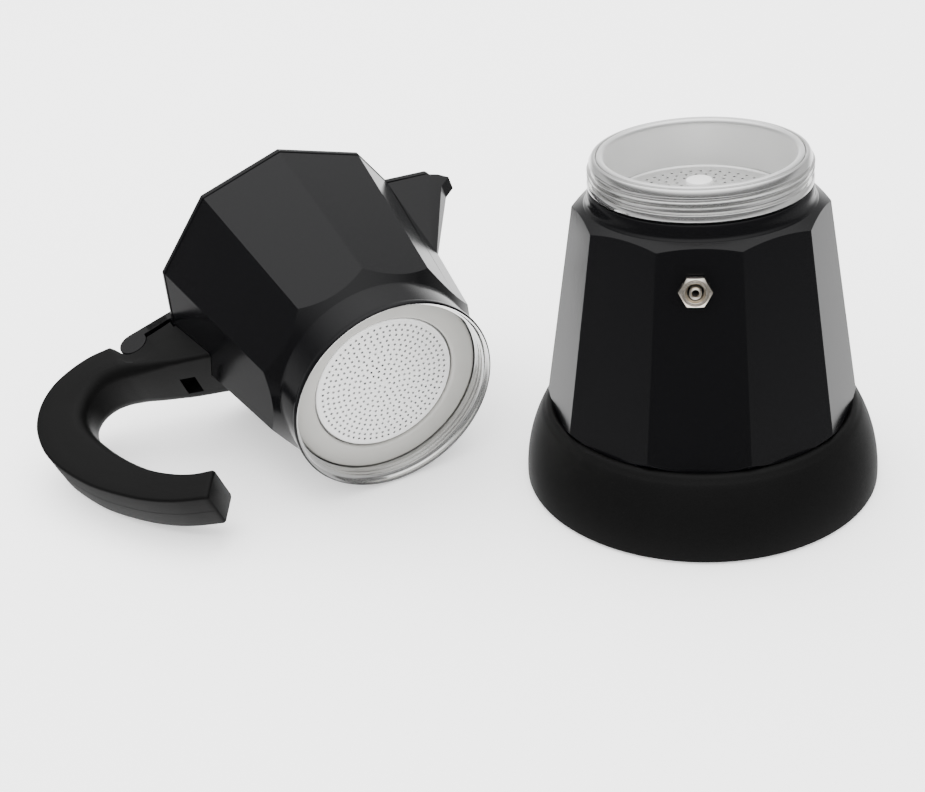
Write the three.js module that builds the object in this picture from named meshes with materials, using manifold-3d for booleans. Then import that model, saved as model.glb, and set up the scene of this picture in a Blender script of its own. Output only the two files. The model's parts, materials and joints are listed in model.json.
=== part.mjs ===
// Electric stovetop coffee maker (moka pot), taken apart for filling.
// Units are millimetres, +Z is up. The boiler stands on its heated base and the collector
// lies beside it on its side, resting on its mouth rim, a lid corner and its handle.
// The group's origin is the middle of its footprint, on the surface it stands on.

import * as THREE from 'three';
import { mergeVertices } from 'three/addons/utils/BufferGeometryUtils.js';
import { ConvexGeometry } from 'three/addons/geometries/ConvexGeometry.js';
import Module from 'manifold-3d';

const wasm = await Module();
wasm.setup();

// ---------- driving dimensions ----------

const FACETS = 10;               // the pot is a decagon
const ROUND = 32;                // sides of a large turned surface
const SMALL_ROUND = 16;          // sides of a small turned surface
const SOCKET_ROUND = 24;         // sides of the connector
const GAP = 0.3;                 // clearance between pieces that rest on each other
const FIT = 0.4;                 // clearance of a sliding or turning fit

// heated base
const BASE_ARC = 52;             // radius of the skirt's bulging side
const BASE_HEIGHT = 28.6;        // crest of the skirt
const BASE_FLARE = 11.6;         // skirt's reach at the table beyond the boiler's foot
const SEAT_DEPTH = 5.8;          // how deep the boiler sits below the crest
const MOUTH_FIT = 0.9;           // clearance round the boiler's foot
const BASE_WALL = 2.4;
const FOOT_HEIGHT = 2.5;         // rubber feet
const FOOT_RADIUS = 6;
const FOOT_CIRCLE = 44;          // radius of the circle that the feet stand on
const FOOT_COUNT = 3;
const LIFT = 0.6;                // skirt edge above the table
const COVER_THICK = 2.2;
const SHELF_THICK = 2;
const SHELF_LEDGE = 7;           // width of the shelf under the boiler's foot
const SCREW_RADIUS = 1.5;
const SOCKET_RADIUS = 16.5;      // cordless connector under the base
const SOCKET_WALL = 2.5;
const SOCKET_POST = 6;
const SOCKET_PIN = 3.4;          // bore for the plug's centre pin
const SOCKET_ROOF = 2;
const CONTACT_THICK = 0.8;
const TAB_COUNT = 3;
const TAB_CIRCLE = 12;
const THERMOSTAT_RADIUS = 8;
const THERMOSTAT_HEIGHT = 4;
const PLATE_THICK = 2.4;         // heater plate under the boiler
const ELEMENT_CIRCLE = 28;       // centre line of the heating element
const ELEMENT_RADIUS = 3.2;

// boiler, with heights above the seat that it stands on
const BOILER_FOOT = 50;          // radius of the turned foot
const BOILER_LOW_CORNER = BOILER_FOOT + 2.93;   // corner radius where the facets end below
const BOILER_LOW_Z = 7.7;
const BOILER_TOP_CORNER = 41.64; // corner radius at the shoulder
const BOILER_TOP_Z = 76.6;
const LOW_SCALLOP = 1.31;        // rise of the turned cone that ends the facets below
const SHOULDER_RISE = 0.54;      // rise of the turned cone that ends them above
const BOILER_WALL = 2.4;
const BOILER_FLOOR = 3.2;
const NECK_TOP = BOILER_TOP_Z + 17.8;
const THREAD_CREST = 36.1;       // outside of the neck thread
const NECK_RADIUS = THREAD_CREST - 1.5;         // rim of the neck
const NECK_WALL = 2.7;
const NECK_BORE = NECK_RADIUS - NECK_WALL;
const THREAD_DEPTH = 1;
const THREAD_PITCH = 2.2;
const THREAD_TURNS = 3;
const THREAD_BOTTOM = NECK_TOP - 9.2;
const FLANGE_SEAT = 1.2;         // depth of the funnel's seat in the neck

// funnel and reducer
const BASKET_RADIUS = NECK_BORE - 0.7;
const BASKET_WALL = 0.9;
const BASKET_DEPTH = 22.2;
const FLANGE_RADIUS = NECK_BORE + 0.9;
const STEM_RADIUS = 5;
const STEM_BOTTOM = 8.2;
const CONE_DEPTH = 10;           // from the basket's floor down to the stem
const SIEVE_THICK = 0.9;
const SIEVE_HOLE = 0.9;
const REDUCER_HEIGHT = 5.1;
const KNOB_RADIUS = 4.4;
const KNOB_HEIGHT = 6.2;

// safety valve
const VALVE_Z = BOILER_TOP_Z - 11.4;
const VALVE_ASIDE = -1.1;        // off the facet's centre line
const VALVE_HEX = 5.2;           // corner radius of the hexagon
const VALVE_HEX_THICK = 2.7;
const VALVE_SHANK = 3.7;
const VALVE_BORE = 2.3;
const VALVE_SHANK_LENGTH = 9;
const WASHER_RADIUS = 4.4;
const WASHER_THICK = 0.6;
const VALVE_TRAVEL = 1.2;
const SPRING_WIRE = 0.4;
const SPRING_LENGTH = 5;
const SPRING_TURNS = 4;

// collector
const MOUTH_THREAD_CREST = 35.6;
const MOUTH_THREAD_ROOT = MOUTH_THREAD_CREST + 1.1;
const COLLAR_RADIUS = MOUTH_THREAD_ROOT + 0.7;
const MOUTH_RADIUS = COLLAR_RADIUS + 0.5;       // outside of the mouth rim
const WAIST_CORNER = COLLAR_RADIUS + 4.41;      // corner radius where the facets end at the mouth
const WAIST_Z = 20.4;
const WAIST_SCALLOP = 1.32;
const RIM_CORNER = 53.24;        // corner radius under the lid
const RIM_Z = 90.7;
const COLLECTOR_WALL = 3;
const SEAT_Z = 8;                // where the thread ends and the gasket's seat begins
const GASKET_OUTER = MOUTH_THREAD_CREST - 0.3;
const GASKET_INNER = 26.8;
const GASKET_THICK = 3;
const GASKET_FACE = SEAT_Z + 0.2;
const FILTER_RADIUS = GASKET_INNER - 0.6;
const FILTER_FLANGE = GASKET_OUTER - 2.3;
const FILTER_THICK = 0.8;
const FILTER_FACE = GASKET_FACE + 1;
const FLOOR_LOW = SEAT_Z + 8;    // floor between the filter and the coffee chamber
const FLOOR_THICK = 3;
const COLUMN_BORE = 3.6;
const COLUMN_RADIUS = 6.4;
const COLUMN_TIP_RADIUS = 5.2;
const COLUMN_DROP = 17.7;        // column's top below the rim
const CAP_RADIUS = 7.2;
const CAP_HEIGHT = 8;
const SPOUT_ROOT_HALF = 14.4;    // half width of the spout where it leaves the body
const SPOUT_MID_REACH = RIM_CORNER + 11.96;
const SPOUT_MID_HALF = 7;
const SPOUT_TIP_REACH = RIM_CORNER + 18.66;
const SPOUT_TIP_HALF = 3;
const SPOUT_TIP_Z = RIM_Z - 3.7;
const SPOUT_CHIN_REACH = RIM_CORNER + 13.76;
const SPOUT_CHIN_Z = RIM_Z - 6.5;
const SPOUT_BOTTOM_Z = RIM_Z - 37.7;
const SPOUT_WALL = 2.1;

// handle and hinge
const HANDLE_WIDTH = 17.4;
const HINGE_REACH = RIM_CORNER + 14.26;
const HINGE_Z = RIM_Z + 5.5;
const KNUCKLE_RADIUS = 5.5;
const ROOT_DROP = 1.4;            // handle's top face below the hinge axis
const TONGUE_HALF = 3.6;         // half width of the handle's middle knuckle
const PIN_RADIUS = 1.5;
const LUG_HALF = 4;              // cast lug that carries the handle
const LUG_REACH = HINGE_REACH - 8.5;
const LUG_LOW = HINGE_Z - 24.2;
const LUG_HIGH = HINGE_Z - 9.2;
const WINDOW = 5.2;              // square window under the handle's root
const WINDOW_REACH = HINGE_REACH - 10.5;

// lid
const LID_OVERHANG = 0.4;
const LID_THICK = 2.4;
const ROOF_RISE = 8;
const ROOF_TOP_CORNER = 10;
const ROOF_WALL = 2.2;
const ARM_LOW = HINGE_Z + 1;
const ARM_HIGH = HINGE_Z + 4.9;
const LID_BEAK_REACH = SPOUT_MID_REACH + 0.8;
const LID_KNOB_RADIUS = 10.5;
const LID_KNOB_HEIGHT = 17;
const LID_SCREW_RADIUS = 2;

// how the collector lies beside the boiler
const LYING_PLACE = [-103.9, -19.15];
const LYING_HEADING = 126.4;     // direction that the lid end points to, in degrees
const LYING_ROLL = 70.5;         // turn from straight down to the handle, in degrees

// ---------- finishes ----------

const finish = (color, roughness, metalness) =>
  new THREE.MeshStandardMaterial({ color, roughness, metalness });
const coated = finish('#1b1b1d', 0.35, 0.6);
const plastic = finish('#1d1d1f', 0.6, 0);
const aluminium = finish('#d9dadb', 0.3, 1);
const steel = finish('#c4c5c6', 0.25, 1);
const brass = finish('#c9a14a', 0.3, 1);
const silicone = finish('#bfbfbb', 0.6, 0);
const rubber = finish('#161616', 0.85, 0);
const ceramic = finish('#e6e2d6', 0.7, 0);

// ---------- solids ----------

const degrees = THREE.MathUtils.degToRad;
const facetAngle = (2 * Math.PI) / FACETS;
const flatShare = Math.cos(facetAngle / 2);   // flat distance over corner radius

// A closed body from a three.js geometry: corners welded, slivers dropped, faces outward.
function solid(geometry) {
  const bare = geometry.clone();
  for (const name of Object.keys(bare.attributes)) {
    if (name !== 'position') bare.deleteAttribute(name);
  }
  const welded = mergeVertices(bare, 1e-4);
  const points = welded.getAttribute('position').array;
  const index = welded.getIndex().array;
  const faces = [];
  let volume = 0;
  const corner = (i) => new THREE.Vector3().fromArray(points, 3 * i);
  for (let i = 0; i < index.length; i += 3) {
    const [a, b, c] = [index[i], index[i + 1], index[i + 2]];
    if (a === b || b === c || c === a) continue;
    faces.push(a, b, c);
    volume += corner(a).dot(corner(b).cross(corner(c)));
  }
  if (volume < 0) faces.reverse();
  return new wasm.Manifold(new wasm.Mesh({
    numProp: 3,
    vertProperties: new Float32Array(points),
    triVerts: new Uint32Array(faces),
  }));
}

// A body turned about Z. The profile is a list of [radius, height]; it closes on itself
// unless both of its ends lie on the axis.
function turned(profile, sides = ROUND) {
  const points = profile.map(([radius, height]) => new THREE.Vector2(radius, height));
  const first = points[0];
  const last = points[points.length - 1];
  if (first.x > 0 || last.x > 0) points.push(first.clone());
  return solid(new THREE.LatheGeometry(points, sides).rotateX(Math.PI / 2));
}

// A disc, ring or tube about Z.
function ring(inner, outer, low, high, sides = ROUND) {
  return turned([[inner, low], [outer, low], [outer, high], [inner, high]], sides);
}

// A prism or frustum about Z with one corner at the angle given.
function frustum(lowCorner, highCorner, low, high, sides, turn = 0) {
  const shape = new THREE.CylinderGeometry(highCorner, lowCorner, high - low, sides)
    .rotateX(Math.PI / 2)
    .rotateZ(Math.PI / 2 + turn)
    .translate(0, 0, (low + high) / 2);
  return solid(shape);
}

// A box between two corners.
function block([x0, y0, z0], [x1, y1, z1]) {
  return solid(new THREE.BoxGeometry(x1 - x0, y1 - y0, z1 - z0)
    .translate((x0 + x1) / 2, (y0 + y1) / 2, (z0 + z1) / 2));
}

// A round bar along Y.
function crossbar(radius, x, z, fromY, toY, sides = SMALL_ROUND) {
  return solid(new THREE.CylinderGeometry(radius, radius, toY - fromY, sides)
    .translate(x, (fromY + toY) / 2, z));
}

const hull = (corners) =>
  solid(new ConvexGeometry(corners.map((corner) => new THREE.Vector3(...corner))));

// The same point on both sides of the pot's plane of symmetry.
const mirrored = (x, halfWidth, z) => [[x, halfWidth, z], [x, -halfWidth, z]];

const joined = (bodies) => bodies.reduce((whole, body) => whole.add(body));

// Angles of equally spaced places around the axis.
const around = (count, start = 0) =>
  Array.from({ length: count }, (_, i) => start + (i * 2 * Math.PI) / count);

// A copy of make() at each place on a circle.
function onCircle(count, radius, start, make) {
  return joined(around(count, start).map((angle) =>
    make(radius * Math.cos(angle), radius * Math.sin(angle))));
}

const post = (radius, low, high, sides = SMALL_ROUND) => (x, y) =>
  solid(new THREE.CylinderGeometry(radius, radius, high - low, sides)
    .rotateX(Math.PI / 2)
    .translate(x, y, (low + high) / 2));

// Small holes on rings, for a sieve.
function sieveHoles(rings, low, high) {
  const holes = rings.map(([count, radius]) =>
    onCircle(count, radius, 0, post(SIEVE_HOLE, low, high, 6)));
  return joined(holes);
}

function addPiece(parent, name, body, material) {
  const { vertProperties, triVerts } = body.getMesh();
  const indexed = new THREE.BufferGeometry();
  indexed.setAttribute('position', new THREE.BufferAttribute(vertProperties, 3));
  indexed.setIndex(new THREE.BufferAttribute(triVerts, 1));
  indexed.computeVertexNormals();
  const mesh = new THREE.Mesh(indexed, material);
  mesh.name = name;
  parent.add(mesh);
  return mesh;
}

// ---------- heated base ----------

const base = new THREE.Group();
const baseRadius = BOILER_FOOT + BASE_FLARE;
const mouthRadius = BOILER_FOOT + MOUTH_FIT;
const crestRadius = mouthRadius + 1.7;
const boilerSeat = BASE_HEIGHT - SEAT_DEPTH;
const shelfBore = BOILER_FOOT - SHELF_LEDGE;
const screwCircle = shelfBore + 7;
const coverLow = FOOT_HEIGHT + GAP;
const coverHigh = coverLow + COVER_THICK;
const shelfHigh = boilerSeat - GAP;
const shelfLow = shelfHigh - SHELF_THICK;
const skirtRadius = (z) =>
  baseRadius - BASE_ARC + Math.sqrt(BASE_ARC ** 2 - (z - LIFT) ** 2);
const coverRadius = skirtRadius(coverHigh) - BASE_WALL - GAP - 1;
const screwStart = Math.PI / 2;
const footStart = -Math.PI / 2;

function baseSkirt() {
  const sideTop = BASE_HEIGHT - 2.4;
  const steps = 5;
  const heights = Array.from({ length: steps + 1 }, (_, i) => LIFT + (i * (sideTop - LIFT)) / steps);
  const outside = heights.map((z) => [skirtRadius(z), z]);
  const inside = heights.slice(0, -1).reverse().map((z) => [skirtRadius(z) - BASE_WALL, z]);
  const crest = [
    [crestRadius + 1.1, BASE_HEIGHT - 0.6],
    [crestRadius, BASE_HEIGHT],
    [mouthRadius + 0.3, BASE_HEIGHT - 0.4],
    [mouthRadius, BASE_HEIGHT - 1.4],
    [mouthRadius, shelfHigh],
    [shelfBore, shelfHigh],
    [shelfBore, shelfLow],
  ];
  const underShelf = [skirtRadius(shelfLow) - BASE_WALL, shelfLow];
  const belowShelf = inside.filter(([, z]) => z < shelfLow - 1);
  const shell = turned([...outside, ...crest, underShelf, ...belowShelf]);
  const bosses = onCircle(FOOT_COUNT, screwCircle, screwStart,
    post(4, coverHigh + GAP, shelfLow + 0.5));
  const pilots = onCircle(FOOT_COUNT, screwCircle, screwStart,
    post(SCREW_RADIUS + GAP, coverHigh - 1, shelfLow - 3, 12));
  return shell.add(bosses).subtract(pilots);
}

function bottomCover() {
  const plate = ring(SOCKET_RADIUS + GAP, coverRadius, coverLow, coverHigh);
  const holes = onCircle(FOOT_COUNT, screwCircle, screwStart,
    post(SCREW_RADIUS + GAP, coverLow - 1, coverHigh + 1, 12));
  return plate.subtract(holes);
}

function coverScrew(x, y) {
  const headLow = coverLow - GAP - 1.4;
  const shank = post(SCREW_RADIUS, headLow + 1, coverHigh + 8, 12)(x, y);
  return post(3, headLow, coverLow - GAP, 12)(x, y).add(shank);
}

const rubberFoot = post(FOOT_RADIUS, 0, FOOT_HEIGHT);

const plateLow = shelfHigh - PLATE_THICK;
const thermostatLow = plateLow - GAP - THERMOSTAT_HEIGHT;
const socketLow = coverLow;
const socketTop = thermostatLow - 2 * GAP;
const socketRoof = socketTop - SOCKET_ROOF;
const socketTrough = SOCKET_RADIUS - SOCKET_WALL;

function connectorSocket() {
  const lip = coverHigh + GAP;
  return turned([
    [SOCKET_PIN, socketLow], [SOCKET_POST, socketLow], [SOCKET_POST, socketRoof],
    [socketTrough, socketRoof], [socketTrough, socketLow], [SOCKET_RADIUS, socketLow],
    [SOCKET_RADIUS, lip], [SOCKET_RADIUS + 3, lip], [SOCKET_RADIUS + 3, lip + 1.5],
    [SOCKET_RADIUS, lip + 1.5], [SOCKET_RADIUS, socketTop], [SOCKET_PIN, socketTop],
  ], SOCKET_ROUND);
}

function contactRing(inner) {
  return ring(inner, inner + CONTACT_THICK, socketLow + 3, socketRoof - GAP, SOCKET_ROUND);
}

const heaterPlate = () => ring(0, shelfBore - 1, plateLow, shelfHigh);

function heatingElement() {
  const middle = plateLow - GAP - ELEMENT_RADIUS;
  const open = degrees(25);
  const arc = new THREE.EllipseCurve(0, 0, ELEMENT_CIRCLE, ELEMENT_CIRCLE, open, 2 * Math.PI - open);
  const route = new THREE.CatmullRomCurve3(
    arc.getPoints(24).map((point) => new THREE.Vector3(point.x, point.y, middle)));
  const section = new THREE.Shape().absarc(0, 0, ELEMENT_RADIUS, 0, 2 * Math.PI);
  const tube = new THREE.ExtrudeGeometry(section,
    { steps: 24, curveSegments: 5, extrudePath: route });
  return solid(tube);
}

function thermostat() {
  return ring(0, THERMOSTAT_RADIUS, thermostatLow, thermostatLow + THERMOSTAT_HEIGHT, SMALL_ROUND);
}

function terminalTab(x, y) {
  return block([x - 0.4, y - 2.4, socketTop + GAP], [x + 0.4, y + 2.4, plateLow - 1.5]);
}

// One named piece at each place on a circle, numbered from 1.
function addOnCircle(parent, name, count, radius, start, make, material) {
  around(count, start).forEach((angle, i) => {
    const body = make(radius * Math.cos(angle), radius * Math.sin(angle));
    addPiece(parent, `${name}_${i + 1}`, body, material);
  });
}

addPiece(base, 'base_skirt', baseSkirt(), plastic);
addPiece(base, 'bottom_cover', bottomCover(), plastic);
addOnCircle(base, 'cover_screw', FOOT_COUNT, screwCircle, screwStart, coverScrew, steel);
addOnCircle(base, 'rubber_foot', FOOT_COUNT, FOOT_CIRCLE, footStart, rubberFoot, rubber);
addPiece(base, 'connector_socket', connectorSocket(), plastic);
addPiece(base, 'live_contact_ring', contactRing(SOCKET_POST + GAP), brass);
addPiece(base, 'earth_contact_ring', contactRing(socketTrough - GAP - CONTACT_THICK), brass);
addOnCircle(base, 'terminal_tab', TAB_COUNT, TAB_CIRCLE, 0, terminalTab, brass);
addPiece(base, 'thermostat', thermostat(), ceramic);
addPiece(base, 'heating_element', heatingElement(), steel);
addPiece(base, 'heater_plate', heaterPlate(), aluminium);

// ---------- boiler ----------

const boiler = new THREE.Group();
boiler.position.z = boilerSeat;
const boilerTaper = (BOILER_LOW_CORNER - BOILER_TOP_CORNER) / (BOILER_TOP_Z - BOILER_LOW_Z);
const boilerCorner = (z) => BOILER_LOW_CORNER - boilerTaper * (z - BOILER_LOW_Z);
const shoulderZ = (radius) => BOILER_TOP_Z + (BOILER_TOP_CORNER - radius) * SHOULDER_RISE;
const facetLean = Math.atan(boilerTaper * flatShare);
const neckFoot = THREAD_CREST + 1.7;
const flangeSeatZ = NECK_TOP - FLANGE_SEAT;

function threadOutside() {
  const profile = [];
  for (let turn = 0; turn < THREAD_TURNS; turn += 1) {
    const z = THREAD_BOTTOM + 1.6 + turn * THREAD_PITCH;
    profile.push([THREAD_CREST - THREAD_DEPTH, z], [THREAD_CREST - 0.3, z + 0.8],
      [THREAD_CREST - 0.3, z + 1.4]);
  }
  return profile;
}

function boilerBody() {
  const low = 1;
  const high = BOILER_TOP_Z + 5;
  const reach = BOILER_LOW_CORNER + 8;
  const lowCone = (radius) => BOILER_LOW_Z - (BOILER_LOW_CORNER - radius) * LOW_SCALLOP;
  const turn = facetAngle / 2 - Math.PI / 2;
  const facets = frustum(boilerCorner(low), boilerCorner(high), low, high, FACETS, turn);
  const envelope = turned([
    [0, low], [BOILER_FOOT - 2, low], [BOILER_FOOT, lowCone(BOILER_FOOT)], [reach, lowCone(reach)],
    [reach, shoulderZ(reach)], [neckFoot, shoulderZ(neckFoot)], [0, shoulderZ(neckFoot)],
  ]);
  const turnedParts = turned([
    [0, 0], [BOILER_FOOT - 1, 0], [BOILER_FOOT, 1],
    [BOILER_FOOT, lowCone(BOILER_FOOT) + 2], [neckFoot - 1, shoulderZ(neckFoot) - 1],
    [THREAD_CREST + 0.4, shoulderZ(neckFoot) + 1], [THREAD_CREST - 1.2, THREAD_BOTTOM - 1.5],
    [THREAD_CREST - 1.2, THREAD_BOTTOM - 0.4], [THREAD_CREST, THREAD_BOTTOM],
    [THREAD_CREST, THREAD_BOTTOM + 1.1], ...threadOutside(),
    [NECK_RADIUS, NECK_TOP - 0.8], [NECK_RADIUS - 0.5, NECK_TOP], [0, NECK_TOP],
  ]);
  const innerLow = BOILER_FLOOR;
  const innerRadius = (z) => boilerCorner(z) * flatShare - BOILER_WALL;
  const shoulderInside = BOILER_TOP_Z - BOILER_WALL;
  const cavity = turned([
    [0, innerLow], [BOILER_FOOT - 4, innerLow], [BOILER_FOOT - 2.6, innerLow + 2],
    [innerRadius(BOILER_LOW_Z + 4), BOILER_LOW_Z + 4], [innerRadius(shoulderInside), shoulderInside],
    [NECK_BORE, shoulderInside + 5], [NECK_BORE, flangeSeatZ],
    [FLANGE_RADIUS + GAP, flangeSeatZ], [FLANGE_RADIUS + GAP, NECK_TOP + 1], [0, NECK_TOP + 1],
  ]);
  return facets.intersect(envelope).add(turnedParts).subtract(cavity).subtract(valveHole());
}

// The valve's own frame: origin on the facet, +Z out of it.
function toValve(body) {
  const place = new THREE.Matrix4()
    .makeTranslation(VALVE_ASIDE, -boilerCorner(VALVE_Z) * flatShare, VALVE_Z)
    .multiply(new THREE.Matrix4().makeRotationX(Math.PI / 2 - facetLean));
  return body.transform(place.toArray());
}

const valveHole = () => toValve(ring(0, VALVE_SHANK + FIT, -12, 6, SMALL_ROUND));

const boilerPiece = (name, body, material) => addPiece(boiler, name, body, material);
boilerPiece('boiler', boilerBody(), coated);

// ---------- safety valve ----------

const hexLow = WASHER_THICK + 2 * GAP;
const hexHigh = hexLow + VALVE_HEX_THICK;
const springTop = -VALVE_SHANK_LENGTH - GAP;
const springBottom = springTop - SPRING_LENGTH;
const collarTop = springBottom - VALVE_TRAVEL - GAP;
const plungerRadius = VALVE_BORE - FIT;

function valveBody() {
  const head = frustum(VALVE_HEX, VALVE_HEX, hexLow, hexHigh, 6);
  const shank = ring(0, VALVE_SHANK, -VALVE_SHANK_LENGTH, hexLow + 1, SMALL_ROUND);
  const bore = turned([
    [0, -VALVE_SHANK_LENGTH - 1], [VALVE_BORE, -VALVE_SHANK_LENGTH - 1], [VALVE_BORE, hexHigh - 1.2],
    [VALVE_BORE + 0.9, hexHigh + 0.1], [0, hexHigh + 0.1],
  ], SMALL_ROUND);
  return head.add(shank).subtract(bore);
}

function valveNut() {
  const high = -3.1;
  const corner = VALVE_SHANK + 2.1;
  const hexagon = frustum(corner, corner, high - 4, high, 6);
  return hexagon.subtract(ring(0, VALVE_SHANK + GAP, high - 5, high + 1, SMALL_ROUND));
}

function valvePlunger() {
  const top = hexHigh + 0.4;
  return turned([
    [0, collarTop - 1.2], [VALVE_BORE + 1.1, collarTop - 1.2], [VALVE_BORE + 1.1, collarTop],
    [plungerRadius, collarTop],
    [plungerRadius, top - 0.3], [plungerRadius - 0.3, top], [plungerRadius - 0.75, top],
    [plungerRadius - 0.75, top - 2], [0, top - 2],
  ], SMALL_ROUND);
}

function valveSpring() {
  const coil = VALVE_BORE + SPRING_WIRE + 0.1;
  const steps = SPRING_TURNS * 8;
  const rise = SPRING_LENGTH - 2 * SPRING_WIRE - 0.1;
  const points = [];
  for (let i = 0; i <= steps; i += 1) {
    const angle = (i * 2 * Math.PI * SPRING_TURNS) / steps;
    const z = springBottom + SPRING_WIRE + 0.05 + (rise * i) / steps;
    points.push(new THREE.Vector3(coil * Math.cos(angle), coil * Math.sin(angle), z));
  }
  const section = new THREE.Shape().absarc(0, 0, SPRING_WIRE, 0, 2 * Math.PI);
  return solid(new THREE.ExtrudeGeometry(section,
    { steps, curveSegments: 3, extrudePath: new THREE.CatmullRomCurve3(points) }));
}

boilerPiece('valve_body', toValve(valveBody()), steel);
boilerPiece('valve_washer',
  toValve(ring(VALVE_SHANK + GAP, WASHER_RADIUS, GAP, GAP + WASHER_THICK, SMALL_ROUND)), silicone);
boilerPiece('valve_nut', toValve(valveNut()), steel);
boilerPiece('valve_plunger', toValve(valvePlunger()), brass);
boilerPiece('valve_spring', toValve(valveSpring()), steel);

// ---------- funnel, sieve and reducer ----------

const basketInside = BASKET_RADIUS - BASKET_WALL;
const basketFloor = NECK_TOP - BASKET_DEPTH;
const stemTop = basketFloor - CONE_DEPTH;
const discRadius = basketInside - GAP;
const reducerLow = basketFloor + SIEVE_THICK + GAP;
const reducerTop = reducerLow + REDUCER_HEIGHT;

function funnel() {
  const seat = flangeSeatZ + GAP;
  const rimTop = NECK_TOP + 0.3;
  const cone = basketFloor - 2;
  return turned([
    [STEM_RADIUS - BASKET_WALL, STEM_BOTTOM], [STEM_RADIUS, STEM_BOTTOM], [STEM_RADIUS, stemTop],
    [BASKET_RADIUS - 2, cone - 1], [BASKET_RADIUS, cone + 1], [BASKET_RADIUS, seat],
    [FLANGE_RADIUS, seat], [FLANGE_RADIUS, rimTop - 0.5], [FLANGE_RADIUS - 0.8, rimTop],
    [basketInside + 0.7, rimTop], [basketInside, rimTop - 0.9], [basketInside, basketFloor - GAP],
    [basketInside - 3, basketFloor - GAP], [basketInside - 3, cone],
    [STEM_RADIUS - BASKET_WALL, stemTop + 1],
  ]);
}

function funnelSieve() {
  const high = basketFloor + SIEVE_THICK;
  const plate = ring(0, discRadius, basketFloor, high);
  const rings = [[5, discRadius - 21], [9, discRadius - 12]];
  return plate.subtract(sieveHoles(rings, basketFloor - 1, high + 1));
}

function reducerDisc() {
  const radius = discRadius;
  const low = reducerLow;
  const roof = reducerTop - SIEVE_THICK;
  const cup = turned([
    [0, roof], [radius - SIEVE_THICK, roof], [radius - SIEVE_THICK, low], [radius, low],
    [radius, reducerTop - 0.4], [radius - 0.4, reducerTop], [0, reducerTop],
  ]);
  const rings = [[5, radius - 21], [8, radius - 13], [10, radius - 5]];
  return cup.subtract(sieveHoles(rings, roof - 1, reducerTop + 1));
}

function reducerKnob() {
  const low = reducerTop + GAP;
  const high = low + KNOB_HEIGHT;
  return turned([
    [0, low], [KNOB_RADIUS + 0.6, low], [KNOB_RADIUS + 0.2, low + 1.2], [2.6, low + 2],
    [2.6, high - 2.4], [KNOB_RADIUS - 0.3, high - 1.8], [KNOB_RADIUS, high - 1],
    [KNOB_RADIUS - 0.4, high], [0, high],
  ], SMALL_ROUND);
}

boilerPiece('funnel', funnel(), aluminium);
boilerPiece('funnel_sieve', funnelSieve(), aluminium);
boilerPiece('reducer_disc', reducerDisc(), aluminium);
boilerPiece('reducer_knob', reducerKnob(), aluminium);

// ---------- collector, in its own frame ----------
// Z runs from the mouth to the lid, the handle is on +X and the spout on -X.

const collector = new THREE.Group();
const collectorTaper = (RIM_CORNER - WAIST_CORNER) / (RIM_Z - WAIST_Z);
const collectorCorner = (z) => WAIST_CORNER + collectorTaper * (z - WAIST_Z);
const facetCone = (radius) => WAIST_Z - (WAIST_CORNER - radius) * WAIST_SCALLOP;
const columnTop = RIM_Z - COLUMN_DROP;
const flangeHigh = GASKET_FACE + GASKET_THICK + GAP + FILTER_THICK;

const collectorFrustum = (low, high, grown) =>
  frustum(collectorCorner(low) + grown, collectorCorner(high) + grown, low, high, FACETS);

function mouthThread() {
  const profile = [];
  const pitch = (SEAT_Z - 1.2) / 3;
  for (let turn = 0; turn < 3; turn += 1) {
    const z = 0.8 + turn * pitch;
    profile.push([MOUTH_THREAD_CREST, z + 0.3], [MOUTH_THREAD_CREST, z + 0.9],
      [MOUTH_THREAD_ROOT, z + pitch - 0.3]);
  }
  return profile;
}

function spoutOutside() {
  const trough = hull([
    ...mirrored(-44, SPOUT_ROOT_HALF, RIM_Z), ...mirrored(-SPOUT_MID_REACH, SPOUT_MID_HALF, RIM_Z),
    ...mirrored(-SPOUT_CHIN_REACH, SPOUT_TIP_HALF, SPOUT_CHIN_Z), [-44, 0, SPOUT_BOTTOM_Z - 5],
  ]);
  const beak = hull([
    ...mirrored(-SPOUT_MID_REACH, SPOUT_MID_HALF, RIM_Z),
    ...mirrored(-SPOUT_TIP_REACH, SPOUT_TIP_HALF, SPOUT_TIP_Z),
    ...mirrored(-SPOUT_CHIN_REACH, SPOUT_TIP_HALF, SPOUT_CHIN_Z), [-56, 0, RIM_Z], [-56, 0, 80],
  ]);
  return trough.add(beak);
}

function spoutInside() {
  const half = SPOUT_WALL * 1.1;
  const top = RIM_Z + 1;
  const trough = hull([
    ...mirrored(-34, SPOUT_ROOT_HALF - half, top),
    ...mirrored(-SPOUT_MID_REACH + 1, SPOUT_MID_HALF - half, top),
    ...mirrored(-SPOUT_CHIN_REACH + SPOUT_WALL, 0.8, SPOUT_CHIN_Z + 2), [-42, 0, SPOUT_BOTTOM_Z + 4],
    ...mirrored(-34, 3, SPOUT_BOTTOM_Z + 4),
  ]);
  const channel = hull([
    ...mirrored(-SPOUT_MID_REACH + 3, 3.4, top), ...mirrored(-SPOUT_TIP_REACH - 1, 2.2, top),
    ...mirrored(-SPOUT_TIP_REACH - 1, 0.8, SPOUT_TIP_Z - 1),
    ...mirrored(-SPOUT_MID_REACH + 3, 0.8, SPOUT_TIP_Z - 0.4),
  ]);
  return trough.add(channel);
}

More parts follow.
